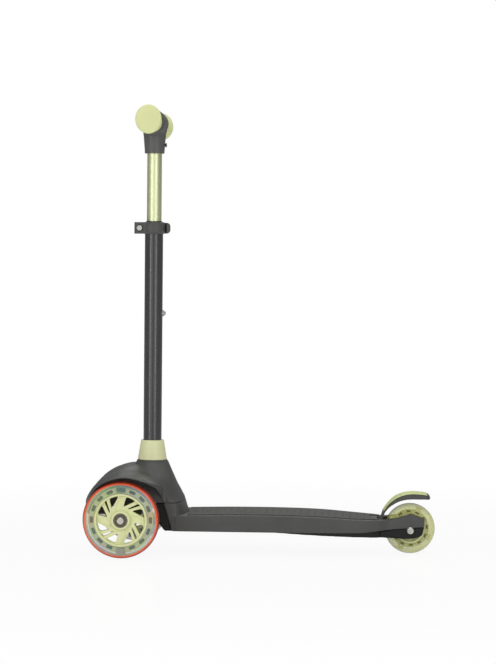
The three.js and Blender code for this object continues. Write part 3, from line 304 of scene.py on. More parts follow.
def rod(axis, radius, start, end, centre=(0, 0, 0), steps=96, name="rod"):
    profile = [(0, start), (radius, start), (radius, end), (0, end)]
    return turned(name, profile, axis, centre, steps)


def block(low, high, name="block"):
    (x0, y0, z0), (x1, y1, z1) = low, high
    points = [(x, y, z) for z in (z0, z1) for x, y in ((x0, y0), (x1, y0), (x1, y1), (x0, y1))]
    faces = [(3, 2, 1, 0), (4, 5, 6, 7), (0, 1, 5, 4), (1, 2, 6, 5), (2, 3, 7, 6), (3, 0, 4, 7)]
    return mesh_object(name, points, faces)


def wall(axis, outline, start, end, name="wall"):
    """An outline of two coordinates extruded along an axis."""
    place = AXES[axis]
    return rings_object(name, [[place(along, a, b) for a, b in outline] for along in (start, end)])


def plate(name, outline, holes, half, edge, steps=2):
    """A flat plate in the XZ plane with rounded edges and holes, centred on the origin."""
    curve = bpy.data.curves.new(name, "CURVE")
    curve.dimensions = "2D"
    curve.fill_mode = "BOTH"
    curve.extrude = (half - edge) * MM
    curve.bevel_depth = edge * MM
    curve.bevel_resolution = steps
    curve.offset = -edge * MM
    for points in [outline, *holes]:
        line = curve.splines.new("POLY")
        line.points.add(len(points) - 1)
        line.use_cyclic_u = True
        for point, (a, b) in zip(line.points, points):
            point.co = (a * MM, b * MM, 0, 1)
    maker = link(bpy.data.objects.new(name + "_curve", curve))
    graph = bpy.context.evaluated_depsgraph_get()
    mesh = bpy.data.meshes.new_from_object(maker.evaluated_get(graph))
    bpy.data.objects.remove(maker)
    mesh.transform(Matrix.Rotation(math.radians(90), 4, "X"))
    mesh.name = name
    return link(bpy.data.objects.new(name, mesh))


def combine(operation, first, *others):
    """Joins, cuts or intersects solids, and removes the others."""
    for other in others:
        change = first.modifiers.new("change", "BOOLEAN")
        change.operation = operation
        change.solver = "EXACT"
        change.object = other
        settled(first)
        bpy.data.objects.remove(other)
    return first


def join(first, *others):
    return combine("UNION", first, *others)


def cut(first, *others):
    return combine("DIFFERENCE", first, *others)


def common(first, *others):
    return combine("INTERSECT", first, *others)


def gathered(name, pieces):
    """Puts several meshes into one object."""
    made = bmesh.new()
    for piece in pieces:
        piece.data.transform(piece.matrix_world)
        made.from_mesh(piece.data)
        bpy.data.objects.remove(piece)
    mesh = bpy.data.meshes.new(name)
    made.to_mesh(mesh)
    made.free()
    return link(bpy.data.objects.new(name, mesh))


def softened(obj, grain, rounds):
    """Remeshes a solid finely and rounds its edges."""
    remesh = obj.modifiers.new("remesh", "REMESH")
    remesh.mode = "VOXEL"
    remesh.voxel_size = grain * MM
    ease = obj.modifiers.new("ease", "SMOOTH")
    ease.factor = 0.5
    ease.iterations = rounds
    settled(obj)
    obj.data.shade_smooth()
    return obj


def smooth(obj, degrees=sharp_angle):
    """Shades the faces smooth that meet at less than this angle."""
    obj.data.shade_smooth()
    obj.data.set_sharp_from_angle(angle=math.radians(degrees))
    return obj


def bevelled(obj, width, segments=2, degrees=bevel_angle):
    """Rounds the edges of faces that meet at more than this angle."""
    bevel = obj.modifiers.new("bevel", "BEVEL")
    bevel.width = width * MM
    bevel.segments = segments
    bevel.limit_method = "ANGLE"
    bevel.angle_limit = math.radians(degrees)
    return obj


def edged(obj, width, segments=2):
    """Rounds the sharp edges and shades the rest smooth."""
    return smooth(bevelled(obj, width, segments))


def copy_of(node, name):
    """A new mesh object with the shape of a CAD node."""
    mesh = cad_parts[node].data.copy()
    mesh.materials.clear()
    return link(bpy.data.objects.new(name, mesh))


def placed(obj, x, y, z):
    """Moves an object's place, keeping its mesh round its own origin."""
    obj.location = Vector((x, y, z)) * MM
    return obj


def finished(obj, name, body, slot, material, *nodes):
    """Names a piece, gives it its material and lets it ride on its body."""
    obj.name = name
    obj.data.name = name
    obj.data.materials.clear()
    obj.data.materials.append(material)
    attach(obj, body)
    if nodes:
        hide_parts(*nodes)
    return obj


# Materials

noise_range = (0.3, 0.7)  # where most of a noise texture's values lie
noise_roughness = 0.55
edge_range = (0.53, 0.62)  # pointiness from a flat face to a sharp edge
edge_lift = 0.9  # how much lighter a worn edge is
broad_grain = 28
uneven_roughness = 0.05
coat_roughness = 0.12
grain_height = 0.4 * MM
cast_grain = 700
cast_grain_depth = 0.05
cast_grain_height = 0.5 * MM
cast_cloud = 90
cast_mottle = 0.06
cast_roughness = (0.14, 0.24)
cast_coat = 0.2
ring_blur = 0.8 * MM


def new_material(name):
    material = bpy.data.materials.new(name)
    material.use_nodes = True
    return material, material.node_tree, material.node_tree.nodes["Principled BSDF"]


def fed(tree, node, inputs):
    """Sets a node's named inputs to constants, or links them to sockets."""
    for name, value in inputs.items():
        if isinstance(value, bpy.types.NodeSocket):
            tree.links.new(value, node.inputs[name])
        else:
            node.inputs[name].default_value = value
    return node


def added(tree, kind, inputs):
    return fed(tree, tree.nodes.new("ShaderNode" + kind), inputs)


def object_place(tree):
    return added(tree, "TexCoord", {}).outputs["Object"]


def noise(tree, place, scale, detail):
    inputs = {"Vector": place, "Scale": scale, "Detail": detail, "Roughness": noise_roughness}
    return added(tree, "TexNoise", inputs).outputs["Fac"]


def ranged(tree, value, source, target, curve="LINEAR"):
    """Maps a value from one range to another one."""
    made = added(tree, "MapRange", {
        "Value": value, "From Min": source[0], "From Max": source[1],
        "To Min": target[0], "To Max": target[1],
    })
    made.interpolation_type = curve
    return made.outputs["Result"]


def stepped(tree, value, source, target=(0, 1)):
    return ranged(tree, value, source, target, "SMOOTHSTEP")


def length_of(tree, place):
    """The distance from the origin."""
    made = tree.nodes.new("ShaderNodeVectorMath")
    made.operation = "LENGTH"
    tree.links.new(place, made.inputs[0])
    return made.outputs["Value"]


def blended(tree, share, *colours):
    """Mixes two colours, each a tuple or a socket."""
    made = tree.nodes.new("ShaderNodeMix")
    made.data_type = "RGBA"
    one, two = ((*c, 1) if isinstance(c, tuple) else c for c in colours)
    return fed(tree, made, {"Factor": share, "A": one, "B": two}).outputs["Result"]


def lighter(colour, share):
    return tuple(min(1, c * (1 + share)) for c in colour)


def grained(tree, shader, height, depth, distance=grain_height):
    """Gives the surface a fine relief."""
    bump = added(tree, "Bump", {"Strength": depth, "Distance": distance, "Height": height})
    fed(tree, shader, {"Normal": bump.outputs["Normal"]})


def surface(
    name, colour, roughness, metallic=0, grain=2600, depth=0.12, mottle=0.08,
    wear=0.25, coat=0, specular=0.5, stretch=(1, 1, 1),
):
    """A moulded, painted or metal surface with fine grain, uneven tone and paler edges."""
    material, tree, shader = new_material(name)
    spot = added(tree, "Mapping", {"Vector": object_place(tree), "Scale": stretch}).outputs["Vector"]
    broad = noise(tree, spot, broad_grain, 4)
    tone = ranged(tree, broad, noise_range, (0, 1))
    base = blended(tree, tone, lighter(colour, -mottle), lighter(colour, mottle))
    edges = added(tree, "NewGeometry", {}).outputs["Pointiness"]
    worn = ranged(tree, edges, edge_range, (0, wear))
    fed(tree, shader, {
        "Base Color": blended(tree, worn, base, lighter(colour, edge_lift)),
        "Roughness": ranged(
            tree, broad, noise_range, (roughness - uneven_roughness, roughness + uneven_roughness),
        ),
        "Metallic": metallic, "Specular IOR Level": specular,
        "Coat Weight": coat, "Coat Roughness": coat_roughness,
    })
    grained(tree, shader, noise(tree, spot, grain, 2), depth)
    return material


def radial_tone(tree, flat, colours):
    """Colours that follow each other round the wheel's axle, from the rear, upwards."""
    turn = added(tree, "TexGradient", {"Vector": flat})
    turn.gradient_type = "RADIAL"
    ramp = added(tree, "ValToRGB", {"Fac": turn.outputs["Fac"]})
    for i, (share, colour) in enumerate(colours):
        if i < 2:
            stop = ramp.color_ramp.elements[i]
        else:
            stop = ramp.color_ramp.elements.new(share)
        stop.position = share
        stop.color = (*colour, 1)
    return ramp.outputs["Color"]


def cast_tyre(name, colour, clear, ring, lights=None):
    """Translucent cast polyurethane, clearer over the hub's ring.

    The ring is given as its radius and its clearness.
    Lights name the colours that glow, the tread's strip, and the painted shade on the tread's rounded
    shoulder.
    """
    material, tree, shader = new_material(name)
    place = object_place(tree)
    parts = added(tree, "SeparateXYZ", {"Vector": place}).outputs
    flat = added(tree, "CombineXYZ", {"X": parts["X"], "Y": parts["Z"]}).outputs["Vector"]
    reach = length_of(tree, flat)
    cloudy = noise(tree, place, cast_cloud, 3)
    tone = ranged(tree, cloudy, noise_range, (0, 1))
    base = blended(tree, tone, lighter(colour, -cast_mottle), lighter(colour, cast_mottle))
    ring_radius, ring_clear = ring
    over_ring = stepped(tree, reach, (ring_radius, ring_radius + ring_blur), (ring_clear, clear))
    inputs = {"Base Color": base, "Alpha": over_ring}
    if lights:
        tones = radial_tone(tree, flat, lights["round"])
        strip_span, painted_shade_span = (
            (start, start + lights["strip_blur"]) for start in (lights["strip_from"], lights["painted_shade_from"])
        )
        band = stepped(tree, reach, strip_span)
        # The strip's outer part, on the tread's rounded shoulder, takes the darker edge colour as painted
        # shade.
        strip = blended(tree, stepped(tree, reach, painted_shade_span), lights["strip"], lights["edge"])
        inputs = {
            "Base Color": blended(tree, band, base, strip),
            "Emission Color": blended(tree, band, tones, strip),
            "Emission Strength": stepped(tree, reach, strip_span, (lights["glow"], lights["strip_glow"])),
            "Alpha": stepped(tree, reach, strip_span, (over_ring, lights["strip_clear"])),
        }
    inputs["Roughness"] = ranged(tree, cloudy, noise_range, cast_roughness)
    inputs["Coat Weight"] = cast_coat
    fed(tree, shader, inputs)
    grained(tree, shader, noise(tree, place, cast_grain, 2), cast_grain_depth, cast_grain_height)
    return material


grey_plastic = surface("grey_plastic", (0.062, 0.062, 0.06), 0.46)
# A lighter copy of the grey plastic for the T handle. Its lighter colour is a painted highlight on the
# barrel; its lower roughness is real.
handle_plastic_painted_highlight = surface("handle_plastic_painted_highlight", (0.085, 0.085, 0.082), 0.42)
black_plastic = surface("black_plastic", (0.008, 0.008, 0.008), 0.5, wear=0.1, specular=0.3)
lime_plastic = surface("lime_plastic", (0.7, 0.71, 0.41), 0.42, mottle=0.03, wear=0.08, depth=0.05)
hub_plastic = surface("hub_plastic", (0.72, 0.74, 0.4), 0.4, mottle=0.03, wear=0.08, depth=0.05)
cover_plastic = surface("cover_plastic", (0.6, 0.66, 0.27), 0.42, mottle=0.03, wear=0.08, depth=0.05)
lime_rubber = surface("lime_rubber", (0.66, 0.69, 0.34), 0.6, grain=1500, mottle=0.03, wear=0.05)
lime_metal = surface(
    "lime_metal", (0.8, 0.85, 0.52), 0.46,
    metallic=1, grain=900, depth=0.003, mottle=0.01, stretch=(1, 1, 0.04),
)
tube_paint = surface(
    "tube_paint", (0.052, 0.052, 0.053), 0.24, metallic=0.3, grain=3200, depth=0.02, coat=0.35,
)
bright_metal = surface("bright_metal", (0.66, 0.65, 0.61), 0.26, metallic=0.85, depth=0.05)
steel = surface("steel", (0.36, 0.35, 0.33), 0.34, metallic=1, depth=0.08)
black_steel = surface("black_steel", (0.06, 0.06, 0.06), 0.4, metallic=0.7, depth=0.05)
copper = surface("copper", (0.5, 0.28, 0.14), 0.35, metallic=1)
mat_rubber = surface("mat_rubber", (0.066, 0.066, 0.062), 0.75, grain=1800, depth=0.3, wear=0.2)
dark_rubber = surface("dark_rubber", (0.016, 0.016, 0.016), 0.7, grain=1500)
shield = surface("shield", (0.1, 0.085, 0.055), 0.4)
bearing_steel = surface("bearing_steel", (0.2, 0.18, 0.14), 0.4, metallic=0.8)
# Near-black fill set into the hub ring's slots.
dark_slot_fill = surface("dark_slot_fill", (0.02, 0.018, 0.01), 0.4)

# The hubs' slotted rings, seen through the tyres
front_ring = 51
rear_ring = 30.6

# Lights seen through the front tyres, from the front round over the bottom, as shares of a turn
glow_shares = [
    (0, (0.9, 0.4, 0.2)), (1, (0.9, 0.4, 0.2)), (0.05, (0.35, 0.75, 0.5)), (0.1, (0.3, 0.75, 0.6)),
    (0.155, (0.35, 0.35, 0.8)), (0.2, (0.3, 0.6, 0.5)), (0.25, (0.4, 0.42, 0.36)), (0.31, (0.4, 0.5, 0.35)),
    (0.36, (0.35, 0.8, 0.25)), (0.42, (0.35, 0.45, 0.6)), (0.47, (0.4, 0.45, 0.7)), (0.52, (1.0, 0.36, 0.2)),
    (0.56, (0.45, 0.5, 0.6)), (0.62, (0.3, 0.4, 0.8)), (0.68, (0.16, 0.22, 0.6)), (0.75, (0.08, 0.18, 0.18)),
    (0.83, (0.22, 0.6, 0.18)), (0.9, (0.5, 0.75, 0.3)), (0.96, (0.6, 0.65, 0.3)),
]
# The edge colour is painted shade: the tread's rounded shoulder is painted darker where it turns away from
# the light.
tyre_lights = {
    "round": glow_shares, "glow": 0.24,
    "strip": (0.72, 0.1, 0.04), "strip_from": 54.8 * MM, "strip_blur": 1.4 * MM,
    "strip_glow": 0.26, "strip_clear": 0.94, "edge": (0.2, 0.025, 0.012), "painted_shade_from": 57.4 * MM,
}
# Its edge colour is also painted shade on the tread's rounded shoulder.
unlit = {
    **tyre_lights, "glow": 0.03, "strip": (0.3, 0.2, 0.16), "strip_glow": 0.05, "strip_clear": 0.5,
    "edge": (0.2, 0.12, 0.1),
}
lit_tyre = cast_tyre("lit_tyre", (0.3, 0.38, 0.27), 0.5, (front_ring * MM, 0.3), tyre_lights)
dim_tyre = cast_tyre("dim_tyre", (0.32, 0.34, 0.3), 0.4, (front_ring * MM, 0.3), unlit)
rear_tyre = cast_tyre("rear_tyre", (0.6, 0.62, 0.14), 0.55, (rear_ring * MM, 0.28))
lens = surface("lens", (0.015, 0.07, 0.08), 0.25, mottle=0.2, grain=900)
grey_lens = surface("grey_lens", (0.3, 0.28, 0.24), 0.3, mottle=0.2, grain=900)
pale_lens = surface("pale_lens", (0.62, 0.58, 0.5), 0.3, mottle=0.1, grain=900)


# Wheels

# Half a tyre's section, as shares of its depth and half width
TYRE_SHARES = [
    (0, 0.9), (0.1, 0.96), (0.24, 1), (0.48, 0.985), (0.68, 0.93), (0.84, 0.8), (0.95, 0.55), (1, 0.22),
    (1, 0),
]
# Corners of the hub's windows, as shares of the rim's inner radius, and degrees
WINDOW_CORNER_SHARES = [
    [(0.54, 80), (1, 52), (1, 77)],
    [(0.54, 60), (0.57, 52), (1, 37), (1, 43)],
    [(0.58, 41), (1, 5), (1, 29)],
]
RIDGE_SHARES = [(0.97, 85), (0.74, 101), (0.47, 121)]
# A bolt's head from its foot to its top, as shares of its radius and height
BOLT_HEAD_SHARES = [(1, 0), (1, 0.35), (0.9, 0.75), (0.68, 1)]
front_wheel = {
    "tyre": 60, "half": 12, "rim": 41.5, "rim_wall": 3.2, "rim_half": 9.6,
    "ring": front_ring, "ring_half": 2.5, "slot": 46.3, "slot_length": 10.4, "slot_depth": 5.2, "slots": 16,
    "web": 4.6, "boss": 14, "boss_half": 11, "windows": True, "light_turn": 90,
}
rear_wheel = {
    "tyre": 40, "half": 13.5, "rim": 23.5, "rim_wall": 3.5, "rim_half": 11,
    "ring": rear_ring, "ring_half": 2.5, "slot": 27.2, "slot_length": 6.6, "slot_depth": 3.2, "slots": 12,
    "web": 4.4, "boss": 14, "boss_half": 13, "windows": False, "light_turn": 64.5,
}
turns = (0, 90, 180, 270)
window_corner = 4.5
ridge_half = 1.1
ridge_rise = 1.1
hub_edge = 0.7
slot_edge = 0.2
slot_corner_share = 0.9  # of half its depth
web_sunk = 1  # the web's edge lies this far inside the rim
ring_sunk = 2
rim_corner = 0.9
boss_flare = 2.5
boss_corner = 0.6
bearing_radius = 11
bearing_width = 7
bearing_lip = 2  # holds the bearings apart
race = 1.8  # wall of a bearing's outer and inner ring
race_corner = 0.4
cover_tuck = 0.2  # the bearing's cover reaches under the rings
cover_sunk = 0.5
cover_corner = 0.3
bore_radius = 4
axle_radius = 3.7
front_bolt = (5.8, 4)  # radius and height of the head
rear_bolt = (6, 5)
bolt_edge = 0.25
socket_share = 0.48  # of the head's radius
socket_depth_share = 0.6


def tyre_piece(wheel):
    seat = wheel["rim"] + seat_gap
    depth = wheel["tyre"] - seat
    half = spline([(seat + out * depth, across * wheel["half"]) for out, across in TYRE_SHARES], 3)
    half = [(min(r, wheel["tyre"]), y) for r, y in half]
    other = [(r, -y) for r, y in reversed(half[:-1])]
    tyre = turned("tyre", half + other, "Y", steps=tube_sides)
    return smooth(tyre)


def swirl_windows(wheel):
    inner = wheel["rim"] - wheel["rim_wall"] - seat_gap
    windows = []
    for turn in turns:
        for corners in WINDOW_CORNER_SHARES:
            points = [polar(share * inner, degrees + turn) for share, degrees in corners]
            windows.append(rounded(points, window_corner))
    return windows


def swirl_ridges(wheel):
    """The raised ridges along the hub's widest spokes."""
    inner = wheel["rim"] - wheel["rim_wall"]
    ridges = []
    for turn in turns:
        line = [Vector(polar(share * inner, degrees + turn)) for share, degrees in RIDGE_SHARES]
        line = [Vector(p) for p in spline([tuple(p) for p in line], 4)]
        aside = []
        for i, point in enumerate(line):
            along = (line[min(i + 1, len(line) - 1)] - line[max(i - 1, 0)]).normalized()
            aside.append(Vector((-along.y, along.x)) * ridge_half)
        left = [tuple(p + a) for p, a in zip(line, aside)]
        right = [tuple(p - a) for p, a in zip(line, aside)]
        ridges.append(left + right[::-1])
    return ridges


def ring_slots(wheel):
    slots = []
    for i in range(wheel["slots"]):
        degrees = wheel["light_turn"] + i * 360 / wheel["slots"]
        length = wheel["slot_length"] / 2
        depth = wheel["slot_depth"] / 2
        box = [(-depth, -length), (depth, -length), (depth, length), (-depth, length)]
        outline = []
        for a, b in rounded(box, depth * slot_corner_share):
            angle = math.degrees(b / wheel["slot"])
            outline.append(polar(wheel["slot"] + a, degrees + angle))
        slots.append(outline)
    return slots


def hub_piece(wheel):
    """The hub with its web, rim, boss and slotted ring, and near-black fills in the ring's slots."""
    inner = wheel["rim"] - wheel["rim_wall"]
    windows = swirl_windows(wheel) if wheel["windows"] else []
    slots = ring_slots(wheel)
    web_holes = [circle(bearing_radius - bearing_lip), *windows]
    web = plate("web", circle(wheel["rim"] - web_sunk), web_holes, wheel["web"], hub_edge)
    ring_holes = [circle(wheel["rim"] - ring_sunk), *slots]
    ring = plate("ring", circle(wheel["ring"]), ring_holes, wheel["ring_half"], hub_edge)
    rim = turned(
        "rim",
        rounded([
            (inner, -wheel["rim_half"]), (wheel["rim"], -wheel["rim_half"]),
            (wheel["rim"], wheel["rim_half"]), (inner, wheel["rim_half"]),
        ], rim_corner, 3),
        "Y", steps=tube_sides,
    )
    foot = wheel["boss"] + boss_flare
    recess = wheel["boss_half"] - bearing_width
    seat = bearing_radius + seat_gap
    lip = bearing_radius - bearing_lip
    boss = turned(
        "boss",
        rounded([
            (seat, -wheel["boss_half"]), (wheel["boss"], -wheel["boss_half"]),
            (foot, -wheel["web"]), (foot, wheel["web"]), (wheel["boss"], wheel["boss_half"]),
            (seat, wheel["boss_half"]), (seat, recess), (lip, recess), (lip, -recess), (seat, -recess),
        ], boss_corner, 2),
        "Y",
    )
    ridges = [
        plate(f"ridge_{i}", outline, [], wheel["web"] + ridge_rise, hub_edge)
        for i, outline in enumerate(swirl_ridges(wheel) if wheel["windows"] else [])
    ]
    pieces = [web, ring, rim, boss, *ridges]
    marked = sum(len(piece.data.polygons) for piece in pieces)
    plug_half = wheel["ring_half"] - hub_edge
    plugs = [plate(f"plug_{i}", slot, [], plug_half, slot_edge) for i, slot in enumerate(slots)]
    return smooth(gathered("hub", [*pieces, *plugs]), hub_angle), marked


def flat_ring(name, inner, outer, half, corner):
    """A ring round the wheel's axle with rounded corners."""
    section = [(inner, -half), (outer, -half), (outer, half), (inner, half)]
    return turned(name, rounded(section, corner, 2), "Y", steps=boss_sides)


def bearing_piece():
    half = bearing_width / 2
    outer = flat_ring("outer", bearing_radius - race, bearing_radius, half, race_corner)
    inner = flat_ring("inner", bore_radius, bore_radius + race, half, race_corner)
    cover = flat_ring(
        "cover", bore_radius + race - cover_tuck, bearing_radius - race + cover_tuck, half - cover_sunk,
        cover_corner,
    )
    marked = len(outer.data.polygons) + len(inner.data.polygons)
    return gathered("bearing", [outer, inner, cover]), marked


def socket_bolt(head, foot, side, shank_end):
    """A button-head bolt with a hexagon socket, its head outwards on the given side."""
    head_radius, head_height = head
    top = foot + head_height
    profile = [
        (0, shank_end), (axle_radius, shank_end), (axle_radius, foot),
        *[(head_radius * out, foot + head_height * up) for out, up in BOLT_HEAD_SHARES], (0, top),
    ]
    bolt = turned("bolt", [(r, side * y) for r, y in profile], "Y", steps=hole_sides)
    ends = sorted((side * (top - head_height * socket_depth_share), side * (top + overrun)))
    cut(bolt, rod("Y", head_radius * socket_share, *ends, steps=6))
    return edged(bolt, bolt_edge)


def build_wheel(prefix, wheel, tyre_material, body, centre, outward_side):
    x, y, z = centre
    tyre = placed(tyre_piece(wheel), x, y, z)
    finished(tyre, f"{prefix}_cast_tyre", body, "clear_tyre", tyre_material, f"{prefix}_tyre")
    hub, marked = hub_piece(wheel)
    placed(hub, x, y, z)
    finished(hub, f"{prefix}_swirl_hub", body, "lime_plastic", hub_plastic, f"{prefix}_hub")
    hub.data.materials.append(dark_slot_fill)
    for face in hub.data.polygons[marked:]:
        face.material_index = 1
    for word, side in (("outer", outward_side), ("inner", -outward_side)):
        bearing, marked = bearing_piece()
        placed(bearing, x, y + side * (wheel["boss_half"] - bearing_width / 2), z)
        node = f"{prefix}_bearing_{word}"
        finished(bearing, f"{node}_ring", body, "steel", bearing_steel, node)
        bearing.data.materials.append(shield)
        for face in bearing.data.polygons[marked:]:
            face.material_index = 1
        smooth(bearing, moulded_angle)


def build_wheels():
    for side, word in ((-1, "left"), (1, "right")):
        prefix = f"front_{word}"
        centre = (axle_x, side * track_half, front_axle.z)
        build_wheel(prefix, front_wheel, lit_tyre if side < 0 else dim_tyre, f"{prefix}_wheel", centre, side)
        low, high = box_mm(f"{prefix}_axle_bolt")
        head_foot = front_wheel["boss_half"] + seat_gap
        reach = (low.y if side > 0 else -high.y) - track_half
        bolt = placed(socket_bolt(front_bolt, head_foot, side, reach), *centre)
        node = f"{prefix}_axle_bolt"
        finished(bolt, f"{prefix}_axle_screw", "steering", "bright_metal", bright_metal, node)
    build_wheel("rear", rear_wheel, rear_tyre, "rear_wheel", tuple(rear_axle), -1)
    low, high = box_mm("rear_axle_bolt")
    bolt = placed(socket_bolt(rear_bolt, -low.y - rear_bolt[1], -1, -high.y), *rear_axle)
    finished(bolt, "rear_axle_screw", "deck_and_stem", "bright_metal", bright_metal, "rear_axle_bolt")


# Hood

# Half the hood seen from above, as shares of its length to the fenders' rear and its half width
HOOD_PLAN_SHARES = [
    (0, 0), (0.004, 0.16), (0.01, 0.3), (0.024, 0.48), (0.062, 0.645), (0.115, 0.765), (0.175, 0.87),
    (0.26, 0.955), (0.36, 0.997), (0.45, 1), (0.58, 1), (0.66, 0.995), (0.715, 0.965), (0.765, 0.885),
    (0.81, 0.76), (0.85, 0.615), (0.885, 0.515), (0.91, 0.481), (0.95, 0.479), (1, 0.479),
]
# Across the hood: shares of its half width, of the way from the spine's arc to the fender's,
# and of the way from there to the fender's edge
HOOD_SECTION_SHARES = [
    (0, 0, 0), (0.06, 0.015, 0), (0.12, 0.06, 0), (0.18, 0.14, 0), (0.24, 0.28, 0), (0.29, 0.48, 0),
    (0.33, 0.72, 0), (0.365, 0.92, 0), (0.4, 0.99, 0.01), (0.432, 1, 0.02), (0.444, 1, 0.06),
    (0.452, 1, 0.42), (0.46, 1, 0.06), (0.472, 1, 0.02), (0.52, 1, 0.08), (0.6, 1, 0.18), (0.68, 1, 0.37),
    (0.745, 1, 0.64), (0.765, 1, 0.96), (0.78, 1, 0.78), (0.84, 1, 0.8), (0.92, 1, 0.88), (0.975, 1, 0.96),
    (1, 1, 1.06),
]
# The neck from its seam up: shares of its height, of the way from the collar's seat out to the seam's rear,
# and of the way out to the seam's side, with the squareness of its outline there
NECK_SECTION_SHARES = [
    (-0.1, 1, 1, 9), (0, 1, 1, 9), (0.11, 0.89, 1, 5.5), (0.26, 0.725, 0.99, 3.7), (0.41, 0.55, 0.93, 3.3),
    (0.565, 0.41, 0.8, 2.9), (0.715, 0.28, 0.55, 2.4), (0.87, 0.15, 0.2, 2.1), (0.945, 0.08, 0.06, 2),
    (1, 0, 0, 2),
]
# The same from the ground up to the seam
NECK_FOOT_SHARES = [(0, 1.2, 1, 7), (0.775, 1.2, 1, 7), (1, 1, 1, 9)]
hood_sides = 200
neck_sides = 144
hood_grain = 0.8


def mirrored(line):
    return line + [(a, -b) for a, b in reversed(line) if abs(b) > 1e-9]


def hood_plan(inset):
    length = nose_reach + fender_rear - 2 * inset
    points = [(inset - nose_reach + a * length, b * (fender_half - inset)) for a, b in HOOD_PLAN_SHARES]
    line = [(a, max(b, 0)) for a, b in spline(points, 4)] + [(points[-1][0], 0)]
    return [(axle_x + a, b) for a, b in mirrored(line)]


def hood_ring(side, across, shift, edge, inset):
    radius = mix(mix(hood_radius, fender_radius, shift), fender_edge_radius, edge) - inset
    x = axle_x + mix(hood_setback, fender_setback, shift)
    z = front_axle.z + shift * fender_rise
    return [(x + a, side * across * fender_half, z + b) for a, b in circle(radius, hood_sides)]


def hood_body(inset):
    stations = spline(HOOD_SECTION_SHARES, 2)
    rings = [hood_ring(-1, *station, inset) for station in stations[:0:-1]]
    rings += [hood_ring(1, *station, inset) for station in stations]
    plan = wall("Z", hood_plan(inset), 0, 2 * hood_top_height)
    return common(rings_object("hood_body", rings), plan)


def neck_outline(rear, side, square, inset):
    """The neck's level outline: round behind the tube at its top, a rounded box at the seam."""
    seat = collar_foot_radius + seat_gap
    reach = mix(seat, neck_rear - neck_bulge - stem_setback, rear) - inset
    half = mix(seat, neck_half, side) - inset
    outline = []
    for along, across in circle(1, neck_sides):
        out = (abs(along) ** square + abs(across) ** square) ** (-1 / square)
        bulge = rear * neck_bulge * (1 - (across * out) ** 2) if along > 0 else 0
        outline.append((stem_x + along * out * reach + bulge, across * out * half))
    return outline


def neck_loft(table, foot, top, inset):
    return rings_object("neck", [
        [(x, y, mix(foot, top, rise)) for x, y in neck_outline(*shape, inset)] for rise, *shape in table
    ])


def neck_body(inset):
    return neck_loft(spline(NECK_SECTION_SHARES, 3), seam_height, hood_top_height - inset, inset)


def side_loft(side, ends):
    """A round body across one side, from rings given as half width, radius, setback and height."""
    return rings_object("side_loft", [
        [(axle_x + setback + a, side * half, height + b) for a, b in circle(radius, hood_sides)]
        for half, radius, setback, height in ends
    ])


def hood_hollow():
    """The room under the hood, round the tube's socket."""
    front_half, rear_half = hood_cheek_half - hood_wall, rear_gap_half - hood_wall
    front, middle = axle_x - nose_reach - overrun, axle_x + rear_gap_front - hood_wall
    rear = axle_x + neck_rear + overrun
    high = 2 * hood_top_height
    between = join(
        block((front, -front_half, -overrun), (middle, front_half, high)),
        block((middle - overrun, -rear_half, -overrun - nudge), (rear, rear_half, high + nudge)),
    )
    room = join(common(hood_body(hood_wall), between), neck_body(hood_wall))
    socket = rod("Z", lower_tube_radius + socket_wall, tongue_top + seat_gap, hood_top_height, (stem_x, 0, 0))
    return cut(room, socket)


def build_hood():
    axle = front_axle.z
    past = fender_half + overrun
    front = axle_x - nose_reach - overrun
    rear = axle_x + neck_rear + overrun
    hood = join(hood_body(0), neck_body(0))
    cut(hood, block((front, -past, -overrun), (rear, past, axle + hood_hem_rise)))
    cut(hood, block(
        (stem_x, -past - nudge, -overrun - nudge), (rear + nudge, past + nudge, seam_height + seat_gap / 2),
    ))
    cut(hood, hood_hollow())
    well = (well_radius, fender_setback, axle + fender_rise)
    for side in (-1, 1):
        cut(hood, side_loft(side, [(hood_cheek_half, *well), (past, *well)]))
        behind = common(
            side_loft(side, [(rear_gap_half, rear_gap_radius, 0, axle), (hood_cheek_half + seat_gap, *well)]),
            block((axle_x + rear_gap_front, -past, 0), (rear, past, 2 * hood_top_height)),
        )
        cut(hood, behind)
    bore = lower_tube_radius + seat_gap
    cut(hood, rod("Z", bore, axle, 2 * hood_top_height, (stem_x, 0, 0)))
    cut(hood, block(
        (axle_x - beam_slot_half, -past, axle - overrun),
        (axle_x + beam_slot_half, past, axle + beam_slot_rise),
    ))
    softened(hood, hood_grain, 2)
    finished(hood, "front_hood_shell", "deck_and_stem", "grey_plastic", grey_plastic, "front_hood")


# Deck

# Half the deck seen from above, as shares of its length from the neck to the arms' tails and its half width
DECK_PLAN_SHARES = [
    (0, 0.986), (0.02, 0.986), (0.045, 0.986), (0.06, 1), (0.2, 1), (0.4, 1), (0.55, 1), (0.62, 0.985),
    (0.73, 0.895), (0.81, 0.72), (0.86, 0.565), (0.885, 0.53), (0.92, 0.527), (1, 0.527),
]
# The standing surface from the side, as shares of the deck's length and height
DECK_TOP_SHARES = [
    (0.03, 0.92), (0.055, 0.93), (0.16, 0.97), (0.27, 1), (0.45, 1), (0.6, 0.94), (0.72, 0.82), (0.84, 0.73),
]
# An arm's upper edge from the side, as shares of its length and the peak's rise above the axle
ARM_TOP_SHARES = [(0, 0.62), (0.31, 0.72), (0.55, 0.88), (0.68, 1), (0.72, 0.985), (0.97, 0.74), (1, 0.7)]
STUD_TOP_SHARES = (0.62, 0.5)  # of a stud's length and width
arm_front_setback = 1.2  # the arms rise from this far behind the brake's pivot
deck_grain = 1.1
neck_lap = 0.05  # the neck stands this far into the deck's underside
mat_edge = 0.5
stud_edge = 0.2
stud_margin_share = 0.7  # of a stud's length, to the mat's edge
slope_step = 2  # over which the deck's slope is measured


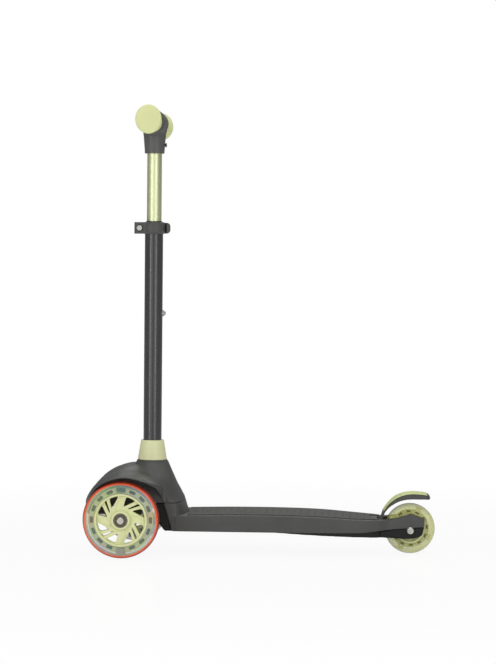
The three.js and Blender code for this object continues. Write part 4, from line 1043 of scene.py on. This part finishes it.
def deck_plan(inset):
    length = deck_rear - neck_front - inset
    points = [(axle_x + neck_front + a * length, b * (deck_half - inset)) for a, b in DECK_PLAN_SHARES]
    line = [(points[0][0], 0)] + spline(points, 4) + [(points[-1][0], 0)]
    return mirrored(line)


def deck_top_line(drop):
    length = deck_rear - neck_front
    points = [
        (axle_x + neck_front + a * length, deck_bottom - drop + b * (deck_top - deck_bottom))
        for a, b in DECK_TOP_SHARES
    ]
    return spline(points, 5)


def level_at(line, x, otherwise):
    """The second coordinate of a line where its first one is x."""
    for (x0, y0), (x1, y1) in zip(line, line[1:]):
        if x0 <= x <= x1 and x1 > x0:
            return mix(y0, y1, (x - x0) / (x1 - x0))
    return otherwise


def deck_top_at(x, drop=0.0):
    line = deck_top_line(drop)
    return level_at(line, x, line[-1][1])


def mat_outline(inset, name):
    half = deck_half + overrun
    plan = wall("Z", deck_plan(mat_inset + inset), 0, 2 * deck_top, name)
    low = (axle_x + mat_front + inset, -half, nudge)
    return common(plan, block(low, (axle_x + mat_rear - inset, half, 2 * deck_top - nudge)))


def brake_notch(inset):
    start = brake_pin.x - 2 * brake_knuckle_radius - inset - mat_inset
    half = brake_half + inset
    return block((start, -half, 0), (axle_x + deck_rear, half, 2 * deck_top + nudge))


def deck_slab():
    """The deck with its rear arms, before its room is cut."""
    front = axle_x + neck_foot
    rear = axle_x + deck_rear
    arm_front = brake_pin.x + arm_front_setback
    arm_top = [
        (mix(arm_front, rear, a), rear_axle.z + b * arm_peak_rise) for a, b in ARM_TOP_SHARES
    ]
    side = [
        (front, deck_bottom), (front, deck_top_at(front)),
        *[p for p in deck_top_line(0) if p[0] > front], *spline(arm_top, 4),
        (rear, rear_axle.z + arm_tail_rise), (axle_x + wheel_slot_front - 2 * overrun, deck_bottom),
    ]
    half = deck_half + nudge
    return common(wall("Y", side, -half, half), wall("Z", deck_plan(0), 0, 2 * deck_top))


def deck_neck():
    """The deck's front end, up to the seam under the hood."""
    foot, top, rear = deck_bottom + neck_lap, seam_height - seat_gap / 2, axle_x + neck_rear + overrun
    side = [(axle_x + neck_front, top), (axle_x + neck_foot, foot), (rear, foot), (rear, top)]
    half = deck_half + 2 * nudge
    return common(neck_loft(NECK_FOOT_SHARES, 0, seam_height, 0), wall("Y", side, -half, half))


def deck_room():
    """The room under the deck, which ends before the wheel's slot."""
    inner = deck_half - deck_wall
    roof = deck_top_line(deck_wall)
    front = axle_x + neck_foot - overrun
    side = [(front, -overrun), (front, roof[0][1]), *roof, (axle_x + deck_rear, -overrun)]
    end = axle_x + wheel_slot_front - deck_wall
    return common(
        wall("Y", side, -inner, inner),
        block((axle_x, -inner - nudge, -overrun - 2 * nudge), (end, inner + nudge, 2 * deck_top + nudge)),
        wall("Z", deck_plan(deck_wall), -overrun - nudge, 2 * deck_top),
    )


def mat_bed():
    top = deck_top + overrun
    side = [*deck_top_line(mat_sunk), (axle_x + deck_rear, top), (axle_x + neck_front, top)]
    half = deck_half + nudge
    bed = common(mat_outline(-seat_gap, "bed"), wall("Y", side, -half, half))
    return cut(bed, brake_notch(-seat_gap))


def build_deck():
    deck = join(deck_slab(), deck_neck())
    neck_plan = neck_outline(*NECK_SECTION_SHARES[0][1:], deck_wall)
    cut(deck, deck_room(), wall("Z", neck_plan, -overrun, 2 * seam_height))
    cut(deck, mat_bed())
    slot = block(
        (axle_x + wheel_slot_front, -wheel_slot_half, -overrun),
        (axle_x + deck_rear + overrun, wheel_slot_half, 2 * deck_top),
    )
    boss_half = wheel_slot_half + rib_thickness + seat_gap
    pin_half = brake_pin_half + seat_gap
    rear = (rear_axle.x, 0, rear_axle.z)
    boss = rod("Y", axle_boss_radius + seat_gap, -boss_half, boss_half, rear, boss_sides)
    axle = rod("Y", bore_radius, -deck_half, deck_half, rear, hole_sides)
    pin = rod("Y", brake_pin_radius + seat_gap, -pin_half, pin_half, (brake_pin.x, 0, brake_pin.z), pin_sides)
    cut(deck, slot, boss, axle, pin)
    softened(deck, deck_grain, 4)
    finished(deck, "deck_shell_moulding", "deck_and_stem", "grey_plastic", grey_plastic, "deck_shell")


def stud(x, y, z, turn, tilt):
    """One raised lozenge of the mat's tread."""
    a, b = stud_length / 2, stud_width / 2
    foot = [(-a, 0), (0, -b), (a, 0), (0, b)]
    top = [(STUD_TOP_SHARES[0] * u, STUD_TOP_SHARES[1] * v) for u, v in foot]
    points = []
    for outline, lift in ((foot, -seat_gap), (top, stud_rise)):
        for u, v in outline:
            c, s = math.cos(turn), math.sin(turn)
            points.append((x + u * c - v * s, y + u * s + v * c, z + lift + tilt * (u * c - v * s)))
    return points


def build_mat():
    upper = deck_top_line(-mat_proud)
    lower = deck_top_line(mat_sunk - seat_gap)
    band = wall("Y", upper + lower[::-1], -deck_half - nudge, deck_half + nudge)
    mat = cut(common(mat_outline(0, "mat"), band), brake_notch(0))
    edged(mat, mat_edge)
    finished(mat, "grip_mat_sheet", "deck_and_stem", "mat_rubber", mat_rubber, "grip_mat")
    plan = deck_plan(mat_inset + stud_length * stud_margin_share)
    side = sorted((a, b) for a, b in plan if b > 0)
    points, faces = [], []
    rows = int((mat_rear - mat_front - stud_pitch) / stud_pitch)
    for i in range(rows):
        x = axle_x + mat_front + stud_pitch * (i + 1)
        half = max((abs(b) for a, b in plan if abs(a - x) < stud_pitch), default=0)
        half = min(half, level_at(side, x, 0))
        columns = int(half / stud_pitch)
        for j in range(-columns, columns + 1):
            y = j * stud_pitch + (stud_pitch / 2 if i % 2 else 0)
            by_brake = x > axle_x + mat_rear - stud_bare_length and abs(y) < stud_bare_half
            if abs(y) > half or by_brake:
                continue
            tilt = (deck_top_at(x + slope_step) - deck_top_at(x - slope_step)) / (2 * slope_step)
            turn = math.radians(stud_turn if (i + j) % 2 else -stud_turn)
            start = len(points)
            points += stud(x, y, deck_top_at(x, -mat_proud), turn, tilt)
            faces.append(tuple(range(start + 4, start + 8)))
            for k in range(4):
                after = (k + 1) % 4
                faces.append((start + k, start + after, start + 4 + after, start + 4 + k))
    studs = outward(mesh_object("studs", points, faces))
    edged(studs, stud_edge, 1)
    finished(studs, "grip_mat_tread", "deck_and_stem", "mat_rubber", mat_rubber)


# Tubes, collar and height button

tube_edge = 0.3
slit_half = 1.3
slit_length = 34
past_wall = 3  # cutting shapes reach this far out of a tube's wall
catch_radius = 3.2
stem_drop = 100
stem_lift = 40
collar_corner = 0.9
bush_corner = 0.3
button_edge = 0.2
bush_sunk = 0.8  # the bush's flange is this much lower than the frame's
# The button's tip, as shares of its radius
BUTTON_SHARES = [(1, 0.375), (0.875, 0.15625), (0.5625, 0)]


def tube_piece(node, radius, wall_depth):
    low, high = box_mm(node)
    bore = radius - wall_depth
    profile = [(radius, low.z), (radius, high.z), (bore, high.z), (bore, low.z)]
    return turned("tube", profile, "Z", on_stem, tube_sides)


def build_lower_tube():
    radius = lower_tube_radius
    high = box_mm("lower_tube")[1]
    tube = tube_piece("lower_tube", radius, lower_tube_wall)
    slit = block(
        (stem_x - radius - past_wall, -slit_half, high.z - slit_length),
        (stem_x, slit_half, high.z + past_wall),
    )
    hole = rod("X", catch_radius + seat_gap, stem_x, stem_x + radius + past_wall, (0, 0, catch_z), hole_sides)
    edged(cut(tube, slit, hole), tube_edge)
    finished(tube, "lower_tube_painted", "deck_and_stem", "dark_tube", tube_paint, "lower_tube")


def build_upper_tube():
    radius = upper_tube_radius
    tube = tube_piece("upper_tube", radius, upper_tube_wall)
    for rise in (0, stem_drop, -stem_lift):
        place = (0, 0, catch_z + rise)
        cut(tube, rod("X", catch_radius + run_gap, stem_x, stem_x + radius + past_wall, place, hole_sides))
    edged(tube, tube_edge)
    finished(tube, "upper_tube_anodised", "handlebar", "lime_metal", lime_metal, "upper_tube")


def build_collar():
    low, high = box_mm("stem_collar")
    bore = lower_tube_radius + seat_gap
    section = [(bore, low.z), (collar_foot_radius, low.z), (collar_top_radius, high.z), (bore, high.z)]
    collar = turned("collar", rounded(section, collar_corner), "Z", on_stem, tube_sides)
    smooth(collar, moulded_angle)
    finished(collar, "stem_collar_cone", "deck_and_stem", "lime_plastic", lime_plastic, "stem_collar")


def build_bush():
    low, high = box_mm("tube_bush")
    split = box_mm("lower_tube")[1].z + seat_gap
    outer, inner = lower_tube_radius - lower_tube_wall - seat_gap, upper_tube_radius + seat_gap
    top = high.z - bush_sunk
    section = [
        (inner, low.z), (outer, low.z), (outer, split), (outer + seat_gap, split), (outer + seat_gap, top),
        (inner, top),
    ]
    bush = smooth(turned("bush", rounded(section, bush_corner, 3), "Z", on_stem), moulded_angle)
    finished(bush, "tube_bush_flanged", "deck_and_stem", "black_plastic", black_plastic, "tube_bush")


def build_height_button():
    low, high = box_mm("height_catch")
    tip = [(catch_radius * out, high.x - catch_radius * back) for out, back in BUTTON_SHARES]
    profile = [(0, low.x), (catch_radius, low.x), *tip, (0, high.x)]
    button = edged(turned("button", profile, "X", (0, 0, catch_z), hole_sides), button_edge)
    finished(button, "height_catch_button", "height_button", "steel", steel, "height_catch")


# Clamp at the top of the lower tube

clamp_wall = 4
clamp_bulge = 2.8
clamp_rod_radius = 2.6
clamp_rod_setback = 22.2  # the rod's axis, ahead of the stem's axis
clamp_nut_radius = 4.6
ear_half = 13.5
ear_corner = 5
ear_step = 0.4  # the ears are this much lower than the band
ear_gap_half = 1.6
ear_room = 20  # to outside the ears
nut_seat = 10.5
lever_sweep = 104  # degrees that the lever wraps round the band
lever_swing = 110
lever_steps = 28
lever_thickness = 5.2
lever_band_gap = 2.4
lever_head_radius = 6.2
lever_pin_radius = 1.8
lever_pin_reach = 21.5
lever_fork_radius = 4.8
lever_fork_half = 3.2
lever_lap = 0.01  # keeps the head's faces out of the arm's planes
clamp_grain = 0.45


def bulged_side(radius, low, high, steps=10):
    """The rounded side of the clamp's band, from its lower edge up."""
    side = []
    for i in range(steps + 1):
        share = 2 * i / steps - 1
        side.append((radius - clamp_bulge * abs(share) ** 3, mix(low, high, i / steps)))
    return side


def build_clamp_band():
    low, high = box_mm("clamp_band")
    middle = (low.z + high.z) / 2
    outer, bore = lower_tube_radius + clamp_wall, lower_tube_radius + seat_gap
    place = (stem_x - clamp_rod_setback, 0, middle)
    side = bulged_side(outer, low.z, high.z)
    band = turned("band", [(0, low.z), *side, (0, high.z)], "Z", on_stem, tube_sides)
    ears = wall("Z", rounded([
        (low.x, -ear_half), (stem_x, -ear_half), (stem_x, ear_half), (low.x, ear_half),
    ], ear_corner, 6), low.z + ear_step, high.z - ear_step)
    join(band, ears)
    cut(
        band,
        rod("Z", bore, low.z - overrun, high.z + overrun, on_stem, tube_sides),
        block((low.x - overrun, -ear_gap_half, low.z - overrun), (stem_x, ear_gap_half, high.z + overrun)),
        rod("Y", clamp_rod_radius + seat_gap, -ear_room, ear_room, place, hole_sides),
        rod("Y", clamp_nut_radius + run_gap, -ear_room, -nut_seat, place, boss_sides),
    )
    softened(band, clamp_grain, 4)
    finished(band, "clamp_band_split", "deck_and_stem", "grey_plastic", grey_plastic, "clamp_band")


def build_clamp_lever():
    low, high = box_mm("clamp_lever")
    band_low, band_high = box_mm("clamp_band")
    middle = (band_low.z + band_high.z) / 2
    outer = lower_tube_radius + clamp_wall
    inner = outer + lever_band_gap
    back = inner + lever_thickness
    x, reach = stem_x - clamp_rod_setback, lever_pin_reach
    angles = [90 - lever_sweep * i / lever_steps for i in range(lever_steps + 1)]
    curve = [polar(back, angle) for angle in angles] + [polar(inner, angle) for angle in angles[::-1]]
    outline = [(stem_x + a, b) for a, b in curve] + [(x, inner), (x, back)]
    arm = wall("Z", outline, low.z, high.z)
    join(arm, rod("Z", lever_head_radius, low.z + lever_lap, high.z - lever_lap, (x, reach, 0), boss_sides))
    fork = (middle - lever_fork_half, middle + lever_fork_half)
    cut(arm, rod("Z", lever_fork_radius, *fork, (x, reach, 0), hole_sides))
    rod_half = clamp_rod_radius + run_gap
    swung = polar(2 * lever_head_radius, -90 - lever_swing)
    edge = polar(rod_half, -lever_swing)
    room = [
        (x + rod_half, -ear_half), (x + rod_half, reach), (x - edge[0], reach - edge[1]),
        (x - edge[0] + swung[0], reach - edge[1] + swung[1]), (x + swung[0], -ear_half),
    ]
    cut(arm, wall("Z", room, middle - rod_half, middle + rod_half))
    pin_ends = (low.z - overrun, high.z + overrun)
    cut(arm, rod("Z", lever_pin_radius + seat_gap, *pin_ends, (x, reach, 0), pin_sides))
    tip = rounded([
        (x - overrun, low.z), (stem_x + back, low.z), (stem_x + back, high.z), (x - overrun, high.z),
    ], (high.z - low.z) / 2, 8)
    arm = common(arm, wall("Y", tip, -outer, reach + overrun))
    softened(arm, clamp_grain, 5)
    finished(arm, "clamp_lever_curved", "lever", "grey_plastic", grey_plastic, "clamp_lever")


# Handlebar

barrel_radius = 20
barrel_half = 27
bar_core_radius = 9.6
handle_screw_radius = 2.2
handle_grain = 0.7
# The socket's side from its foot, as shares of the barrel's radius and of its height
SOCKET_SHARES = [(0.78, 0), (0.83, 0.2881), (0.9, 0.6173), (0.975, 0.7531), (1, 1)]
# A grip's inner end and end disc, as shares of their radius and length
GRIP_ROOT_SHARES = [(0.9605, 0), (1, 0.1231), (1, 0.4615), (0.9671, 0.6769), (0.9671, 1)]
GRIP_END_SHARES = [
    (0.6949, 1), (0.7706, 0.7385), (0.9443, 0.5846), (0.9933, 0.5077), (1, 0.4154), (1, 0.1846),
    (0.98, 0.0769), (0.9265, 0.0192), (0.7795, 0), (0, 0),
]
grip_oval = 0.9
grip_root_radius = 15.2
grip_root_length = 6.5
grip_end_radius = 22.45
grip_end_length = 13
grip_cap = 7.2  # thickness of the end disc over the bar
grip_edge = 0.3
groove_radius = 13.6
rib_radius = 14.4
groove_width = 1.2
rib_slope = 0.7
rib_pitch = 5.2
rib_start = 9  # from the grip's inner end
rib_stop = 15  # from its outer end


def build_handle():
    foot = box_mm("t_handle")[0].z
    place = (stem_x, 0, grip_centre_z)
    barrel = rod("Y", barrel_radius, -barrel_half, barrel_half, place, tube_sides)
    side = spline([(barrel_radius * out, mix(foot, grip_centre_z, up)) for out, up in SOCKET_SHARES], 4)
    join(barrel, turned("socket", side + [(0, grip_centre_z), (0, foot)], "Z", on_stem, tube_sides))
    tube_end = box_mm("upper_tube")[1].z + seat_gap
    bar_half = barrel_half + overrun
    screw_place = (0, 0, centre_mm("t_handle_screw").z)
    screw_ends = (stem_x, stem_x + barrel_radius + overrun)
    cut(
        barrel,
        rod("Z", upper_tube_radius + seat_gap, foot - overrun, tube_end, on_stem),
        rod("Y", bar_core_radius + seat_gap, -bar_half, bar_half, place),
        rod("X", handle_screw_radius + seat_gap, *screw_ends, screw_place, pin_sides),
    )
    softened(barrel, handle_grain, 6)
    finished(barrel, "t_handle_moulding", "handlebar", "grey_plastic", handle_plastic_painted_highlight, "t_handle")


def grip_profile(length):
    """A grip's closed profile of radius and distance from the centre plane."""
    root = barrel_half + run_gap
    end = root + length
    bore = (bar_core_radius + seat_gap) / grip_oval
    profile = [(bore, root)]
    profile += [(grip_root_radius * out, root + grip_root_length * past) for out, past in GRIP_ROOT_SHARES]
    for i in range(int((end - rib_stop - root - rib_start) / rib_pitch)):
        y = root + rib_start + i * rib_pitch
        profile += [(groove_radius, y), (groove_radius, y + groove_width)]
        profile += [(rib_radius, y + groove_width + rib_slope), (rib_radius, y + rib_pitch - rib_slope)]
    profile += [(grip_end_radius * out, end - grip_end_length * short) for out, short in GRIP_END_SHARES]
    return profile + [(0, end - grip_cap), (bore, end - grip_cap)]


def build_grips():
    for side, word in ((-1, "left"), (1, "right")):
        low, high = box_mm(f"grip_{word}")
        profile = [(r, side * y) for r, y in grip_profile(high.y - low.y)]
        grip = edged(turned("grip", profile, "Y", (stem_x, 0, grip_centre_z), oval=grip_oval), grip_edge)
        finished(grip, f"grip_{word}_ribbed", "handlebar", "lime_rubber", lime_rubber, f"grip_{word}")


# Brake

# Round the rear axle from the brake's tip to its root: degrees, and shares of its depth and of its lift
BRAKE_ANGLES = [60, 65, 74, 86, 98, 110, 122, 134, 146, 154]
BRAKE_DEEP_SHARES = [0.38, 0.78, 0.96, 1, 0.9, 0.74, 0.52, 0.28, 0.1, 0]
BRAKE_LIFT_SHARES = [1, 0.72, 0.3, 0.06, 0, 0, 0, 0, 0, -0.12]
# Half the brake seen from above: shares of its flare's length and widening,
# and of its tip's length and half width
BRAKE_FLARE_SHARES = [(0.38095, 0), (0.66667, 0.41333), (1, 1)]
BRAKE_TIP_SHARES = [(1, 0.97), (0.5, 0.84), (0.16667, 0.58), (0, 0.25)]
brake_gap = 7.5
brake_root_deep = 3.4
brake_tip_deep = 9.6
brake_root_half = 15.5
brake_root_rise = 1.5
brake_flare = 21
brake_straight = 40  # its sides run parallel up to here, behind the pivot
brake_tip_length = 12
brake_high = 3 * rear_axle.z  # higher than the brake
brake_grain = 0.6
cover_grain = 0.5
cover_thickness = 1.1
cover_start = 5  # steps of the line from the tip


def brake_line(drop, count=len(BRAKE_ANGLES)):
    """The brake's upper line lowered by the drop, or its under line."""
    points = []
    for degrees, deep, lift in list(zip(BRAKE_ANGLES, BRAKE_DEEP_SHARES, BRAKE_LIFT_SHARES))[:count]:
        radius = rear_axle.z + brake_gap * (1 + lift)
        if drop is not None:
            radius += mix(brake_root_deep, brake_tip_deep, deep) - drop
        a, b = polar(radius, degrees)
        points.append((rear_axle.x + a, rear_axle.z + b))
    return spline(points, 6)


def cover_line(drop):
    """The cover's part of the brake's upper line, short of its tip and of its root."""
    return brake_line(drop, len(BRAKE_ANGLES) - 1)[cover_start:]


def brake_plan():
    root, tip = brake_pin.x - overrun, rear_axle.x + arm_reach + overrun
    half = [(root, brake_root_half)]
    half += [
        (brake_pin.x + a * brake_flare, mix(brake_root_half, brake_half, b)) for a, b in BRAKE_FLARE_SHARES
    ]
    half.append((brake_pin.x + brake_straight, brake_half))
    half += [(tip - a * brake_tip_length, b * brake_half) for a, b in BRAKE_TIP_SHARES]
    return mirrored([(root, 0)] + spline(half, 5) + [(tip, 0)])


def in_brake_plan(side):
    """An outline seen from the side, as wide as the brake."""
    across = brake_half + nudge
    return common(wall("Y", side, -across, across), wall("Z", brake_plan(), -overrun, brake_high))


def build_brake():
    pivot = brake_pin
    root = [
        (pivot.x - brake_pin_radius, pivot.z + brake_pin_radius),
        (pivot.x + brake_pin_radius, pivot.z + brake_root_rise),
    ]
    body = in_brake_plan(brake_line(0) + root + brake_line(None)[::-1])
    pivot_place = (pivot.x, 0, pivot.z)
    join(body, rod("Y", brake_knuckle_radius, -brake_root_half, brake_root_half, pivot_place, hole_sides))
    under, upper = Vector(brake_line(None)[0]), Vector(brake_line(0)[0])
    tip, tip_radius = (under + upper) / 2, (under - upper).length / 2
    join(body, common(
        rod("Y", tip_radius, -brake_half, brake_half, (tip.x, 0, tip.y), hole_sides),
        wall("Z", brake_plan(), -overrun, brake_high + nudge),
    ))
    past = brake_half + overrun
    cut(body, rod("Y", brake_pin_radius + seat_gap, -past, past, pivot_place, pin_sides))
    bed = cover_line(-overrun) + cover_line(cover_thickness + seat_gap)[::-1]
    cut(body, wall("Y", bed, -past, past))
    softened(body, brake_grain, 5)
    finished(body, "brake_fender_arm", "brake", "grey_plastic", grey_plastic, "brake_fender")
    cover = softened(in_brake_plan(cover_line(0) + cover_line(cover_thickness)[::-1]), cover_grain, 4)
    finished(cover, "brake_cover_pad", "brake", "lime_plastic", cover_plastic, "brake_cover")


# Frame nodes that keep their shape

kept_edge = 0.35
frame_grain = 1.2
KEPT = {
    "kingpin": steel, "kingpin_nut": steel, "stem_bolt": steel, "stem_plug": steel, "lever_pin": steel,
    "t_handle_screw": black_steel, "handlebar_core": steel, "catch_ring": steel, "brake_pin": steel,
    "brake_spring": steel, "rear_axle_nut": steel, "clamp_rod": bright_metal, "clamp_nut": bright_metal,
    "kingpin_bush": dark_rubber, "return_rubber_left": dark_rubber, "return_rubber_right": dark_rubber,
    "front_left_magnet_sleeve": copper, "front_right_magnet_sleeve": copper, "rear_magnet_sleeve": copper,
}


def dress_kept_nodes():
    lights = [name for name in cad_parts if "_light_" in name]
    lenses = {light: pale_lens if light.startswith("rear") else lens for light in lights}
    lenses.update({light: grey_lens for light in lights if light.startswith("front") and light.endswith("2")})
    for name, material in {**KEPT, **lenses}.items():
        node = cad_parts[name]
        node.data.materials.clear()
        node.data.materials.append(material)
        bevelled(node, kept_edge, degrees=moulded_angle)
    for name, body in (("chassis", "deck_and_stem"), ("steering_beam", "steering")):
        shape = softened(copy_of(name, name), frame_grain, 4)
        finished(shape, f"{name}_moulding", body, "black_plastic", black_plastic, name)


# Studio: floor, lamps, world and camera

camera_x = 330.7 + axle_x
camera_y = -3545.4
camera_z = 504.9
camera_yaw = 0.0393
camera_pitch = 0.0434
camera_roll = -0.0095
focal_pixels = 2222.2
sensor = 36
floor_half = 9000
floor_near = 400 * MM  # the floor fades into white from here
floor_far = 1200 * MM
floor_white = 0.92
FLOOR_TONES = ((0.93, 0.93, 0.93), (0.95, 0.95, 0.95))
floor_roughness = (0.1, 0.14)
floor_cloud = 6
room_strength = 0.5
room_grey = 0.22  # of the room that glossy surfaces mirror
clip_start = 50 * MM
clip_end = 60000 * MM
# Place, size and power of each lamp at the front; the others have their aim after their place
FRONT_LAMPS = {
    "left_panel": ((-1420, -2520, 900), (2150, 2300), 14),
    "right_panel": ((1230, -2420, 900), (1950, 2300), 12),
    "left_strip": ((-1760, -2110, 900), (280, 2300), 9),
    "right_strip": ((1250, -2200, 900), (260, 2300), 7),
}
OTHER_LAMPS = {
    "top": ((0, -300, 2600), (0, 0, 200), (1800, 1400), 16),
    "back": ((200, 1900, 1900), (0, 0, 300), (1800, 1000), 16),
}
FRONT_AIM = (stem_x, 0, 400)


def build_camera():
    data = bpy.data.cameras.new("camera")
    data.sensor_width = sensor
    data.lens = focal_pixels * sensor / IMAGE_HEIGHT
    data.clip_start = clip_start
    data.clip_end = clip_end
    camera = link(bpy.data.objects.new("camera", data))
    aim = (
        Matrix.Rotation(-camera_roll, 3, "Y")
        @ Matrix.Rotation(camera_pitch, 3, "X")
        @ Matrix.Rotation(-camera_yaw, 3, "Z")
    )
    right, forward, up = aim[0], aim[1], aim[2]
    turn = Matrix((right, up, -forward)).transposed()
    camera.matrix_world = Matrix.Translation(Vector((camera_x, camera_y, camera_z)) * MM) @ turn.to_4x4()
    bpy.context.scene.camera = camera


def build_floor():
    """A glossy white floor that keeps the scooter's shadow and fades into the white behind it."""
    material, tree, shader = new_material("floor")
    place = object_place(tree)
    cloudy = noise(tree, place, floor_cloud, 2)
    tone = ranged(tree, cloudy, noise_range, (0, 1))
    fed(tree, shader, {
        "Base Color": blended(tree, tone, *FLOOR_TONES),
        "Roughness": ranged(tree, cloudy, noise_range, floor_roughness),
    })
    faded = stepped(tree, length_of(tree, place), (floor_near, floor_far), (floor_white, 1))
    share = tree.nodes.new("ShaderNodeMath")
    share.operation = "MULTIPLY"
    tree.links.new(added(tree, "LightPath", {}).outputs["Is Camera Ray"], share.inputs[0])
    tree.links.new(faded, share.inputs[1])
    mixed = added(tree, "MixShader", {"Fac": share.outputs["Value"]})
    tree.links.new(shader.outputs["BSDF"], mixed.inputs[1])
    tree.links.new(added(tree, "Emission", {}).outputs["Emission"], mixed.inputs[2])
    fed(tree, tree.nodes["Material Output"], {"Surface": mixed.outputs["Shader"]})
    half = floor_half
    corners = [(-half, -half, 0), (half, -half, 0), (half, half, 0), (-half, half, 0)]
    floor = mesh_object("floor", corners, [(0, 1, 2, 3)])
    floor.data.materials.append(material)


def build_world():
    """White behind the scooter, a dimmer room in its reflections and a soft light all round."""
    world = bpy.data.worlds.new("world")
    bpy.context.scene.world = world
    world.use_nodes = True
    tree = world.node_tree
    seen = added(tree, "LightPath", {}).outputs
    room = fed(tree, tree.nodes["Background"], {"Color": (1, 1, 1, 1), "Strength": room_strength})
    behind = added(tree, "Background", {"Color": (1, 1, 1, 1)})
    mirrored_room = added(tree, "Background", {"Color": (room_grey, room_grey, room_grey, 1)})
    steps = (("Is Glossy Ray", mirrored_room), ("Is Transmission Ray", behind), ("Is Camera Ray", behind))
    last = room.outputs["Background"]
    for name, shown in steps:
        mixed = added(tree, "MixShader", {"Fac": seen[name]})
        tree.links.new(last, mixed.inputs[1])
        tree.links.new(shown.outputs["Background"], mixed.inputs[2])
        last = mixed.outputs["Shader"]
    fed(tree, tree.nodes["World Output"], {"Surface": last})


def lamp(name, place, aim, size, power):
    data = bpy.data.lights.new(name, "AREA")
    data.shape = "RECTANGLE"
    data.size, data.size_y = (s * MM for s in size)
    data.energy = power
    made = link(bpy.data.objects.new(name, data))
    made.location = Vector(place) * MM
    made.rotation_euler = (Vector(aim) - Vector(place)).to_track_quat("-Z", "Y").to_euler()


def build_lamps():
    for name, (place, size, power) in FRONT_LAMPS.items():
        lamp(name, place, FRONT_AIM, size, power)
    for name, settings in OTHER_LAMPS.items():
        lamp(name, *settings)


build_camera()
build_floor()
build_world()
build_lamps()
build_wheels()
build_hood()
build_deck()
build_mat()
build_lower_tube()
build_upper_tube()
build_collar()
build_bush()
build_height_button()
build_clamp_band()
build_clamp_lever()
build_handle()
build_grips()
build_brake()
dress_kept_nodes()
bpy.context.scene.view_settings.view_transform = "Standard"
